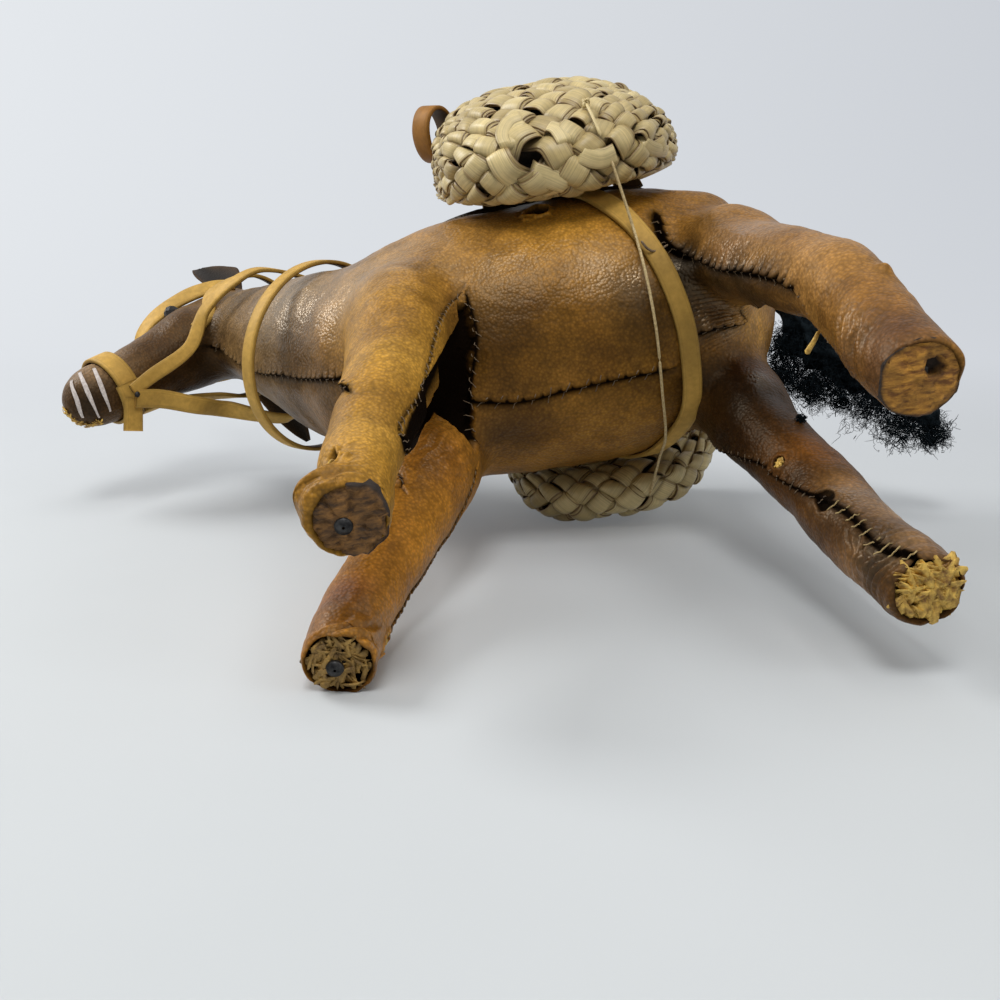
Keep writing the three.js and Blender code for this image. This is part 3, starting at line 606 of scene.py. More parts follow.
def hide_finish(name):
    """Tanned hide: mottled browns, a pebbled grain, creases, a satin polish, and painted shade in its
    hollows.
    """
    f = Finish(name)
    tint = f.layer("tint", "Color")
    seam = f.layer("seam")
    polish = f.layer("polish")
    cloud = f.noise(48, 5, 0.62)
    cells = f.node("TexVoronoi", {"Vector": f.place(), "Scale": 1300.0}).outputs["Distance"]
    skin = f.mix(f.ramp(cloud, [(0.44, 0), (0.66, 0.6)]), tint, (1.4, 1.42, 1.4), "MULTIPLY")
    skin = f.mix(f.ramp(cloud, [(0.3, 0.8), (0.5, 0)]), skin, (0.48, 0.42, 0.38), "MULTIPLY")
    skin = f.vary(skin, f.noise(150, 4, 0.6), [(0.3, 0.72), (0.72, 1.16)])
    skin = f.vary(skin, f.noise(800, 3, 0.6), [(0.3, 0.82), (0.7, 1.14)])
    skin = f.vary(skin, cells, [(0.1, 1.12), (0.7, 0.68)])
    # Painted shade: pointiness darkens the hollows and lightens the ridges.
    pointed = f.node("NewGeometry").outputs["Pointiness"]
    skin = f.vary(skin, pointed, [(0.44, 0.5), (0.5, 1.0), (0.56, 1.25)])
    # The seam layer paints the seams' dark lines, and painted shade in their bites, under their lips, in
    # tears, in the fold and in the legs' hollow ends.
    skin = f.mix(seam, skin, (0.004, 0.002, 0.001))
    pebble = f.bump(f.math("SUBTRACT", 1.0, cells), 0.9, 0.14)
    crease = f.bump(f.noise(260, 4, 0.65), 0.26, 0.35, pebble)
    matt = f.math("ADD", f.ramp(polish, [(0, 0.42), (1, 0.25)]), f.math("MULTIPLY", seam, 0.4))
    shine = f.ramp(polish, [(0, 0.2), (1, 0.95)])
    shine = f.math("MULTIPLY", shine, f.ramp(seam, [(0.2, 1), (0.9, 0.1)]))
    return f.set(Base_Color=skin, Roughness=matt, Normal=crease, Specular_IOR_Level=shine, Specular_Tint=WARM)


def strip_finish(name, top, under):
    """Cut leather strip: honey grain side, dark flesh side, burnished edges, lengthwise creases and painted
    shade.
    """
    f = Finish(name)
    across = f.math("ABSOLUTE", f.layer("across"))
    face = f.mix(f.ramp(f.noise(90, 4, 0.6), [(0.35, 0), (0.65, 1)]), toned(top, 0.72), top)
    face = f.vary(face, f.noise(700, 3, 0.6), [(0.3, 0.84), (0.7, 1.1)])
    face = f.darkened_towards(face, f.ramp(across, [(0.8, 0), (0.97, 1)]), 0.55, toned(top, 0.35))
    face = f.darkened_towards(face, f.ramp(across, [(0.6, 0), (0.68, 1), (0.76, 0)]), 0.3, toned(top, 0.4))
    # Painted shade: the face is darkened where the strip is marked as lying in shadow.
    face = f.mix(f.layer("stain"), face, toned(top, 0.12))
    face = f.mix(f.layer("under"), face, under)
    bump = f.bump(f.noise(900, 3), 0.3, 0.12)
    bump = f.bump(f.noise(160, 3), 0.3, 0.3, bump)
    return f.set(Base_Color=face, Roughness=0.56, Normal=bump, Specular_IOR_Level=0.3, Specular_Tint=WARM)


def palm_finish(name, pale, shade):
    """Dried palm leaf: glossy straw colour with fine lines along the strip, brown edges, a darker underside
    and painted shade where a strip dives under another.
    """
    f = Finish(name)
    across = f.layer("across")
    tone = f.layer("tone")
    drawn = {"X": (across, 9.0), "Y": (f.layer("along"), 0.05), "Z": (tone, 40.0)}
    lines = f.node("CombineXYZ", {axis: f.math("MULTIPLY", *by) for axis, by in drawn.items()})
    vein = f.noise(1.0, 3, 0.6, lines.outputs["Vector"])
    leaf = f.vary(f.mix(tone, shade, pale), vein, [(0.3, 0.76), (0.65, 1.1)])
    leaf = f.vary(leaf, f.noise(160, 4, 0.6), [(0.3, 0.8), (0.7, 1.08)])
    edge = f.ramp(f.math("ABSOLUTE", across), [(0.76, 0), (0.8, 0.6), (0.84, 0), (0.9, 0.2), (0.98, 1)])
    leaf = f.darkened_towards(leaf, edge, 0.85, (0.12, 0.06, 0.02))
    leaf = f.mix(f.layer("under"), leaf, (0.1, 0.06, 0.025))
    # Painted shade: a strip is darkened where it dives under its neighbours.
    leaf = f.darkened_towards(leaf, f.layer("dip"), 0.85, (0.05, 0.028, 0.01))
    return f.set(Base_Color=leaf, Roughness=0.42, Normal=f.bump(vein, 0.35, 0.2))


def sole_finish(name, dark, pale):
    """Cut fibrous sole: short pale fibres, dark pits, a dark rim and painted shade in its hole."""
    f = Finish(name)
    combed = f.node("Mapping", {"Vector": f.place(), "Rotation": (0, 0, 0.7), "Scale": (1, 0.25, 1)})
    fibre = f.noise(1000, 4, 0.65, combed.outputs["Vector"])
    face = f.mix(f.ramp(fibre, [(0.36, 0), (0.64, 1)]), dark, pale)
    face = f.vary(face, f.noise(280, 4, 0.6), [(0.3, 0.55), (0.68, 1.2)])
    face = f.mix(f.layer("rim"), face, (0.018, 0.009, 0.004))
    return f.set(Base_Color=face, Roughness=0.8, Normal=f.bump(fibre, 0.7, 0.5))


def grained_finish(name, dark, pale, scale=500, roughness=0.8, depth=0.3, metal=0.0, shine=0.5):
    """Any plain stuff with a two-tone grain: straw, thread, wool, wire, bead, and the dark sheet of painted
    shade in the baskets.
    """
    f = Finish(name)
    grain = f.noise(scale, 4, 0.6)
    colour = f.mix(f.ramp(grain, [(0.32, 0), (0.68, 1)]), dark, pale)
    return f.set(Base_Color=colour, Roughness=roughness, Metallic=metal, Specular_IOR_Level=shine,
                 Normal=f.bump(grain, 0.4, depth))


HIDE = hide_finish("hide")
STRIP = strip_finish("strip", (0.58, 0.345, 0.075), (0.05, 0.026, 0.011))
LOOP_STRIP = strip_finish("loop_strip", (0.3, 0.13, 0.022), (0.06, 0.028, 0.008))
PALM = palm_finish("palm", (0.7, 0.56, 0.27), (0.32, 0.22, 0.07))
STRAW = grained_finish("straw", (0.2, 0.09, 0.012), (0.86, 0.56, 0.11), 700, 0.6)
DARK_STRAW = grained_finish("dark_straw", (0.07, 0.035, 0.008), (0.42, 0.25, 0.06), 500, 0.7)
STITCH = grained_finish("stitch", (0.06, 0.035, 0.018), (0.26, 0.18, 0.1), 1500, 0.6)
GOLDEN_STITCH = grained_finish("golden_stitch", (0.3, 0.2, 0.07), (0.6, 0.45, 0.2), 1500, 0.7)
CREAM_THREAD = grained_finish("cream_thread", (0.36, 0.25, 0.1), (0.66, 0.52, 0.27), 1800, 0.6)
CHALK = grained_finish("chalk", (0.42, 0.36, 0.33), (0.68, 0.62, 0.58), 1200, 0.75)
WOOL = grained_finish("wool", (0.002, 0.004, 0.006), (0.01, 0.016, 0.02), 1200, 0.9, shine=0.1)
IRON = grained_finish("iron", (0.012, 0.012, 0.013), (0.07, 0.068, 0.066), 700, 0.42, 0.1, 0.9)
BEAD = grained_finish("bead", (0.006, 0.005, 0.004), (0.02, 0.014, 0.01), 900, 0.16, 0.02)
SOLE = sole_finish("sole", (0.15, 0.055, 0.006), (0.55, 0.26, 0.035))
FIBRE = sole_finish("fibre", (0.05, 0.022, 0.005), (0.24, 0.11, 0.024))
# A dark sheet inside the baskets: painted shade.
SHADE_LINER = grained_finish("basket_liner", (0.008, 0.005, 0.002), (0.03, 0.018, 0.008), 600, 0.9)


# Where a photograph's pixel lies

NEAREST_SIGHT = 150
FARTHEST_SIGHT = 420


def ray(x, y):
    return unit(RIGHT * (x - PICTURE / 2) / FOCAL + UP * (PICTURE / 2 - y) / FOCAL - BACK)


def pixels(points):
    """Where points show in the photograph, across and down."""
    sight = points - EYE
    depth = -sight @ BACK
    return PICTURE / 2 + FOCAL * (sight @ RIGHT) / depth, PICTURE / 2 - FOCAL * (sight @ UP) / depth


def seen(tree, x, y):
    """The place and outward direction on a surface at a pixel, or the nearest there is."""
    way = ray(x, y)
    place, out, _, _ = tree.ray_cast(Vector(EYE), Vector(way))
    if place is None:
        reaches = np.arange(NEAREST_SIGHT, FARTHEST_SIGHT, 1.0)
        stops = [tree.find_nearest(Vector(EYE + way * reach)) for reach in reaches]
        place, out, _, _ = min(stops, key=lambda stop: stop[3])
    return np.array(place), np.array(out)


def onto(tree, points, stand=0.0):
    """Points moved to the nearest place on a surface, and the outward directions there."""
    places, outs = [], []
    for p in points:
        place, out, _, _ = tree.find_nearest(Vector(p))
        places.append(np.array(place) + stand * np.array(out))
        outs.append(np.array(out))
    return np.array(places), np.array(outs)


# Hide: the forms are run together, rounded where they meet, then worked

VOXEL = 1.25
BLEND_REACH = 5.0
BLEND_ROUNDS = 110
FIRST_ROUNDS = 4
TINT_REACH = 2.5  # over which one form's colour shades into the next
# The hollow behind the fore legs, which is less rounded: its start and end along the trunk, and its top
HOLLOW_START = (-22, -14)
HOLLOW_END = (5, -5)
HOLLOW_TOP = 118


def loft(rings):
    """Rings closed with a fan at each end."""
    sides = rings.shape[1]
    points = np.vstack([rings.reshape(-1, 3), rings[0].mean(0)[None], rings[-1].mean(0)[None]])
    quads = grid_faces(len(rings), sides, wrap=True).tolist()
    first, last = len(points) - 2, len(points) - 1
    for j in range(sides):
        k = (j + 1) % sides
        end = (len(rings) - 1) * sides
        quads += [[first, k, j], [last, end + j, end + k]]
    return points, quads


def mesh_arrays(mesh):
    points = np.zeros(len(mesh.vertices) * 3)
    mesh.vertices.foreach_get("co", points)
    edges = np.zeros(len(mesh.edges) * 2, int)
    mesh.edges.foreach_get("vertices", edges)
    return points.reshape(-1, 3), edges.reshape(-1, 2)


def modified(mesh, kind, **settings):
    """The mesh after one modifier."""
    holder = bpy.data.objects.new("holder", mesh)
    bpy.context.scene.collection.objects.link(holder)
    change = holder.modifiers.new("change", kind)
    for key, value in settings.items():
        setattr(change, key, value)
    made = bpy.data.meshes.new_from_object(holder.evaluated_get(bpy.context.evaluated_depsgraph_get()))
    bpy.data.objects.remove(holder)
    return made


def relaxed(points, edges, weight, rounds):
    points = points.copy()
    count = len(points)
    degree = np.maximum(np.bincount(edges.ravel(), minlength=count), 1)[:, None]
    a, b = edges.T
    for _ in range(rounds):
        total = np.stack([np.bincount(a, points[b, k], count) + np.bincount(b, points[a, k], count)
                          for k in range(3)], axis=1)
        points += 0.5 * weight[:, None] * (total / degree - points)
    return points


def tree_of(points):
    tree = KDTree(len(points))
    for i, p in enumerate(points):
        tree.insert(p, i)
    tree.balance()
    return tree


FORMS = {"trunk": trunk.rings(1.2, 150), "neck": neck.rings(1.2, 100), "head": head.rings(1.0, 80)}
for leg_name, limb in legs.items():
    FORMS[leg_name] = limb.rings(110, 64, sole_share(limb))


def form_distances(points):
    """How far each point is from each form's surface."""
    found = {}
    for name, rings in FORMS.items():
        tree = tree_of(rings.reshape(-1, 3))
        found[name] = np.array([tree.find(p)[2] for p in points])
    return found


def rough_hide():
    """One skin over all the forms, rounded where they meet."""
    joined = Build()
    for rings in FORMS.values():
        joined.add(*loft(rings))
    mesh = bpy.data.meshes.new("rough_hide")
    mesh.from_pydata(np.vstack(joined.points).tolist(), [], joined.faces)
    mesh = modified(mesh, "REMESH", mode="VOXEL", voxel_size=VOXEL, adaptivity=0.0)
    points, edges = mesh_arrays(mesh)
    gaps_to_forms = form_distances(points)
    gaps = np.sort(np.stack(list(gaps_to_forms.values()), axis=1), axis=1)
    meeting = np.exp(-(gaps[:, 1] / BLEND_REACH) ** 2)
    hollow = smooth(*HOLLOW_START, points[:, 1]) * smooth(*HOLLOW_END, points[:, 1])
    hollow = hollow * (points[:, 2] < HOLLOW_TOP)
    points = relaxed(points, edges, np.full(len(points), 0.9), FIRST_ROUNDS)
    points = relaxed(points, edges, meeting * (1 - 0.75 * hollow), BLEND_ROUNDS)
    mesh.vertices.foreach_set("co", points.ravel())
    mesh.update()
    add_layer(mesh, "tint", form_tint(gaps_to_forms))
    return modified(mesh, "SUBSURF", levels=1, render_levels=1)


def form_tint(gaps):
    """The forms' colours, each shading into the next."""
    weights = {name: np.exp(-gap / TINT_REACH) for name, gap in gaps.items()}
    total = sum(weights.values())[:, None]
    return sum(weights[name][:, None] * np.array(FORM_COLOURS[name]) for name in weights) / total


def surface(mesh):
    shape = bmesh.new()
    shape.from_mesh(mesh)
    tree = BVHTree.FromBMesh(shape)
    shape.free()
    return tree


# Seams: pixels along each, in the photograph, then how high its upper edge stands, the pitch of its
# stitches, how far they reach to each side, the width of its dark line, and the finish of the thread.
# The upper edge is on the left of the run.
SEAMS = {
    "belly": ([(474, 401), (495, 402), (530, 400), (600, 383), (663, 370)], 0.8, 4.1, 2.1, 0.85, STITCH),
    "rump": ([(700, 333), (715, 327), (738, 317), (762, 306)], 0.9, 2.8, 1.0, 0.5, STITCH),
    "fore_root": ([(478, 447), (468, 415), (471, 380), (476, 335), (466, 296)],
                  0.6, 3.0, 1.4, 0.6, STITCH),
    "left_fore": ([(461, 293), (440, 322), (430, 360), (420, 395), (402, 435), (398, 474)],
                  0.45, 2.6, 0.6, 0.22, STITCH),
    "right_fore": ([(476, 470), (462, 510), (442, 555), (420, 585), (400, 622), (394, 652)],
                   0.35, 2.4, 0.5, 0.2, STITCH),
    "throat": ([(212, 347), (234, 359), (254, 371), (280, 375), (310, 379), (347, 388)],
               1.0, 3.4, 1.3, 0.5, STITCH),
    "left_hind": ([(657, 218), (665, 242), (682, 253), (718, 269), (745, 272), (775, 279), (795, 291)],
                  1.5, 3.4, 1.6, 1.0, STITCH),
    "left_hind_low": ([(795, 291), (808, 312), (820, 331), (836, 352), (852, 372)],
                      0.4, 2.6, 0.7, 0.3, STITCH),
    "right_hind": ([(690, 440), (715, 447), (757, 462), (772, 475), (800, 490), (826, 501)],
                   0.8, 2.8, 1.2, 0.55, STITCH),
    "right_hind_low": ([(826, 501), (847, 512), (865, 530), (880, 547), (915, 556)],
                       0.8, 3.6, 1.8, 0.9, GOLDEN_STITCH),
}
SEAM_REACH = 6.0
SEAM_STEP = 0.4


class Seam:
    def __init__(self, tree, marks, lip, pitch, reach, ink, finish):
        self.lip, self.pitch, self.reach, self.ink, self.finish = lip, pitch, reach, ink, finish
        places = [seen(tree, *pixel)[0] for pixel in marks]
        line = even(curve(places, np.linspace(0, 1, 40 * len(places))), SEAM_STEP)
        self.line, self.outs = onto(tree, line)
        self.along = unit(np.gradient(self.line, axis=0))
        self.side = unit(np.cross(self.outs, self.along))
        self.run = np.arange(len(self.line)) * SEAM_STEP


def near_seams(points, seams):
    """For each point: its distance from the nearest seam, the offset to the seam's upper side, the run
    along it, and the seam's lip, pitch and ink."""
    lines = np.vstack([seam.line for seam in seams])
    sides = np.vstack([seam.side for seam in seams])
    facts = np.vstack([[(run, seam.lip, seam.pitch, seam.ink) for run in seam.run] for seam in seams])
    tree = tree_of(lines)
    found = [tree.find(p) for p in points]
    index = np.array([f[1] for f in found])
    distance = np.array([f[2] for f in found])
    offset = ((points - lines[index]) * sides[index]).sum(1)
    return distance, offset, facts[index]


# Tears and holes in the hide: pixel, radius, depth and the number of straws in it
TEARS = [
    ((537, 212), 3.4, 2.4, 2),
    ((826, 500), 2.8, 0.7, 0),
    ((779, 462), 1.8, 1.2, 14),
    ((324, 463), 3.6, 2.8, 3),
    ((388, 645), 2.6, 1.4, 5),
]

# Colours of the forms, and of patches on them: pixel, radius, colour and strength
FORM_COLOURS = {
    "trunk": (0.28, 0.125, 0.014),
    "neck": (0.2, 0.115, 0.042),
    "head": (0.14, 0.066, 0.015),
    "left_fore": (0.45, 0.225, 0.03),
    "right_fore": (0.46, 0.195, 0.022),
    "left_hind": (0.32, 0.15, 0.03),
    "right_hind": (0.12, 0.05, 0.01),
}
PATCHES = [
    ((520, 245), 18, (0.42, 0.2, 0.03), 0.8),
    ((585, 240), 14, (0.46, 0.22, 0.032), 0.8),
    # Painted light: the belly's top just under the basket is lightened.
    ((560, 220), 12, (0.6, 0.29, 0.035), 0.8),
    ((565, 310), 16, (0.24, 0.1, 0.01), 0.7),
    # Painted shadow of the left fore leg on the belly: this patch and the next.
    ((500, 335), 14, (0.024, 0.008, 0.001), 0.95),
    ((520, 375), 12, (0.09, 0.037, 0.004), 0.8),
    ((590, 365), 12, (0.1, 0.042, 0.006), 0.7),
    # Painted shadow of the girth on the belly: this patch and the next.
    ((640, 300), 9, (0.05, 0.024, 0.006), 0.85),
    ((650, 330), 9, (0.03, 0.014, 0.004), 0.9),
    # Painted light: the lower belly is lightened as if lit from the floor.
    ((600, 430), 22, (0.38, 0.175, 0.026), 0.85),
    ((500, 430), 10, (0.13, 0.065, 0.02), 0.8),
    ((420, 250), 18, (0.34, 0.18, 0.05), 0.6),
    ((440, 290), 10, (0.42, 0.2, 0.03), 0.7),
    ((350, 290), 14, (0.3, 0.18, 0.075), 0.6),
    # Painted sheen on the neck.
    ((300, 300), 14, (0.34, 0.235, 0.13), 0.6),
    ((290, 350), 10, (0.09, 0.042, 0.009), 0.8),
    ((330, 400), 12, (0.08, 0.045, 0.022), 0.8),
    ((90, 404), 9, (0.028, 0.017, 0.012), 0.92),
    ((95, 362), 8, (0.34, 0.22, 0.12), 0.85),
    ((170, 362), 13, (0.055, 0.022, 0.005), 0.85),
    ((400, 310), 9, (0.3, 0.14, 0.02), 0.7),
    ((205, 370), 8, (0.05, 0.024, 0.007), 0.8),
    ((445, 455), 12, (0.4, 0.16, 0.024), 0.85),
    ((400, 560), 12, (0.5, 0.21, 0.03), 0.7),
    ((400, 350), 8, (0.52, 0.28, 0.045), 0.6),
    ((375, 430), 8, (0.54, 0.29, 0.05), 0.6),
    ((330, 480), 6, (0.3, 0.14, 0.024), 0.6),
    ((340, 590), 6, (0.34, 0.13, 0.055), 0.8),
    ((350, 695), 6, (0.16, 0.06, 0.012), 0.8),
    ((810, 250), 12, (0.38, 0.2, 0.07), 0.6),
    ((730, 245), 9, (0.24, 0.125, 0.06), 0.7),
    ((870, 312), 11, (0.24, 0.1, 0.016), 0.75),
    ((900, 328), 8, (0.07, 0.024, 0.005), 0.9),
    ((850, 365), 7, (0.09, 0.035, 0.01), 0.8),
    ((880, 365), 7, (0.14, 0.065, 0.03), 0.7),
    # Painted shade under the left hind thigh and in the groin: this patch and the next seven.
    ((690, 275), 7, (0.008, 0.004, 0.002), 0.95),
    ((677, 265), 6, (0.008, 0.004, 0.002), 0.95),
    ((715, 280), 7, (0.02, 0.009, 0.003), 0.95),
    ((740, 280), 6, (0.03, 0.013, 0.004), 0.9),
    ((765, 287), 6, (0.05, 0.022, 0.006), 0.9),
    ((745, 292), 7, (0.04, 0.018, 0.005), 0.9),
    ((785, 300), 6, (0.12, 0.055, 0.012), 0.8),
    ((692, 305), 6, (0.012, 0.006, 0.002), 0.95),
    # A golden panel on the rump, also painted lighter to stand in for light: this patch and the next two.
    ((735, 340), 9, (0.9, 0.44, 0.07), 0.95),
    ((757, 325), 6, (0.95, 0.5, 0.1), 0.95),
    ((718, 350), 6, (0.6, 0.27, 0.04), 0.9),
    ((718, 312), 6, (0.2, 0.1, 0.035), 0.9),
    ((738, 412), 20, (0.014, 0.006, 0.002), 0.97),
    ((745, 368), 6, (0.14, 0.04, 0.012), 0.85),
    ((715, 388), 10, (0.03, 0.012, 0.004), 0.9),
    ((762, 432), 10, (0.05, 0.02, 0.006), 0.8),
    ((700, 390), 9, (0.05, 0.022, 0.005), 0.9),
    ((812, 448), 9, (0.24, 0.085, 0.012), 0.85),
    ((795, 478), 6, (0.045, 0.018, 0.005), 0.85),
    ((820, 488), 5, (0.06, 0.025, 0.008), 0.8),
    ((775, 420), 6, (0.06, 0.024, 0.005), 0.8),
    # A tan band on the right hind leg, also painted lighter as a highlight: this patch and the next two.
    ((850, 483), 6, (0.4, 0.19, 0.05), 0.8),
    ((878, 508), 7, (0.95, 0.55, 0.24), 0.95),
    ((905, 538), 6, (0.55, 0.3, 0.12), 0.85),
    ((845, 530), 7, (0.05, 0.022, 0.008), 0.85),
    ((870, 560), 8, (0.016, 0.008, 0.004), 0.94),
    ((830, 535), 9, (0.1, 0.042, 0.01), 0.8),
    ((850, 590), 7, (0.4, 0.2, 0.07), 0.7),
]

# Polished places: pixel, radius and strength
POLISH = [
    ((300, 320), 20, 1),
    ((270, 310), 12, 1),
    ((340, 300), 12, 0.9),
    ((440, 250), 16, 0.6),
    ((500, 245), 15, 0.55),
    ((600, 270), 9, 0.6),
    ((636, 282), 6, 0.9),
    ((730, 245), 12, 0.8),
    ((722, 312), 8, 1),
    ((757, 377), 4, 1),
    ((846, 340), 6, 0.6),
    ((440, 450), 11, 0.8),
    ((848, 495), 5, 1),
    ((870, 550), 7, 0.6),
    ((700, 275), 8, 0.8),
    ((745, 405), 5, 0.2),
    ((370, 620), 8, 0.7),
]

# Swellings: pixel, radius and height
SWELLS = [
    ((730, 318), 8, 3.0), ((436, 436), 9, 1.2), ((708, 206), 8, 3.0), ((754, 205), 11, -3.4),
    ((835, 250), 8, 1.0), ((320, 467), 4, -3.2), ((311, 495), 5, 2.6), ((884, 270), 1.6, 1.2),
    ((812, 500), 5, 0.8), ((788, 398), 6, -1.6), ((185, 316), 8, 1.6),
]
# Wrinkles: pixel, radius, a second pixel across the ridges, the pitch of the ridges and their height
WRINKLES = [
    ((716, 311), 7, (722, 333), 1.2, 0.26),
    ((850, 340), 5, (862, 334), 2.4, 0.55),
    ((355, 630), 7, (362, 652), 3.2, 0.45),
    ((440, 440), 9, (458, 455), 3.0, 0.25),
    ((874, 560), 7, (884, 572), 2.9, 0.5),
    ((862, 545), 6, (880, 540), 2.3, 0.4),
    ((345, 500), 6, (350, 520), 2.8, 0.4),
    ((325, 480), 5, (333, 497), 2.6, 0.6),
]

# The fold between the left fore leg and the trunk, sunk and painted black as shade: pixels round it, a pixel
# in its middle, how far it reaches from there, how deep it is, and how far from its middle it is that deep
FOLD = [
    (458, 304), (461, 320), (455, 334), (446, 348), (438, 361), (428, 376), (418, 395), (406, 424),
    (401, 442), (403, 456), (414, 448), (426, 424), (434, 412), (446, 420), (468, 442), (475, 452),
    (473, 412), (469, 388), (470, 360), (475, 342), (467, 304),
]
FOLD_MIDDLE = (450, 380)
FOLD_REACH = 62
FOLD_DEPTH = 2.6
FOLD_DEEP_REACH = 36


def fold_share(points, place):
    """How far each point lies inside the fold, from 0 outside to 1."""
    x, y = pixels(points)
    ring = np.array(FOLD, float)
    inside = np.zeros(len(points), bool)
    edge = np.full(len(points), np.inf)
    for (ax, ay), (bx, by) in zip(ring, np.roll(ring, -1, axis=0)):
        dx, dy = bx - ax, by - ay
        if dy:
            inside ^= ((ay > y) != (by > y)) & (x < ax + dx * (y - ay) / dy)
        share = np.clip(((x - ax) * dx + (y - ay) * dy) / (dx ** 2 + dy ** 2), 0, 1)
        edge = np.minimum(edge, np.hypot(x - ax - share * dx, y - ay - share * dy))
    return smooth(-2, 3, np.where(inside, edge, -edge)) * (far(points, place) < FOLD_REACH)


def made_finer(mesh, chosen):
    """Halve the edges between chosen points."""
    shape = bmesh.new()
    shape.from_mesh(mesh)
    edges = [edge for edge in shape.edges if chosen[edge.verts[0].index] and chosen[edge.verts[1].index]]
    bmesh.ops.subdivide_edges(shape, edges=edges, cuts=1, use_grid_fill=True)
    shape.to_mesh(mesh)
    shape.free()
    mesh.update()


# Working the hide
STUFFING_SIZE = 13  # from one lump of the stuffing to the next
STUFFING_HEIGHT = 0.5
LIP_REACH = 3.6
TEAR_EDGE = 0.7
TEAR_FINE = 2.0  # reach of the finer mesh, in radii
WRINKLE_FINE = (1.7, 1.5)  # reach of its first and second refining, in radii
SOLE_EDGE = 6  # height over the ground up to which a leg's end is worked
SOLE_HOLLOW = 3.5
GROUND_GAP = 0.05


def close_to(points, spots, reach):
    """Which points lie near spots, each a place and a radius; reach is in radii."""
    close = np.zeros(len(points), bool)
    for place, radius in spots:
        close |= far(points, place) < reach * radius
    return close


def seam_relief(points, seams):
    """How far the seams' lips, bites and lower sides raise each point, and how dark they make it: the seam's
    dark line, painted shade in the bites and a painted shadow under the lip.
    """
    distance, offset, facts = near_seams(points, seams)
    run, lip, pitch, ink = facts.T
    stray = np.array([noise.noise(Vector((0.35 * r, 9 * l, 0))) for r, l in zip(run, lip)])
    notch = (0.5 + 0.5 * np.cos(2 * math.pi * run / pitch + 1.6 * stray)) ** (9 - 3.5 * lip)
    side = smooth(-0.2, 0.2, offset)
    share = np.exp(-(distance / LIP_REACH) ** 4)
    upper = share * side * np.exp(-np.maximum(offset, 0) / (0.9 + 0.8 * lip))
    lower = share * (1 - side) * np.exp(np.minimum(offset, 0) / (1.0 + 0.7 * lip))
    bite = notch * share * side * np.exp(-np.maximum(offset, 0) / (0.6 + 0.5 * lip))
    # Painted shade in the bites and a painted shadow under the lip, over the seam's dark line.
    shade = np.exp(-(distance / ink) ** 2) + 0.9 * lip * bite + 0.6 * lip * lower
    return lip * (upper - 0.95 * bite - lower), shade


def cut_soles(points, shade):
    """Hollows the legs' ends, makes their edges ragged and paints shade into their hollows."""
    for sole in soles.values():
        away = points[:, :2] - sole[:2]
        reach = np.linalg.norm(away, axis=1)
        low = smooth(SOLE_EDGE, 1, points[:, 2]) * (reach < 2 * SOLE_RADIUS)
        hollow = smooth(SOLE_RADIUS - 1.0, SOLE_RADIUS - 2.0, reach)
        # Painted shade inside each hollow end.
        shade += 0.9 * low * smooth(SOLE_RADIUS - 0.2, SOLE_RADIUS - 1.6, reach)
        at = np.flatnonzero((low > 0.5) & (reach < SOLE_RADIUS + 3))
        turn = np.arctan2(away[at, 1], away[at, 0])
        ragged = np.array([noise.noise(Vector((2 * math.cos(t), 2 * math.sin(t), sole[0]))) for t in turn])
        points[at, 2] += np.maximum(ragged + 0.2, 0) * low[at]
        points[:, 2] += SOLE_HOLLOW * hollow * low
    points[:, 2] = np.maximum(points[:, 2], GROUND_GAP)


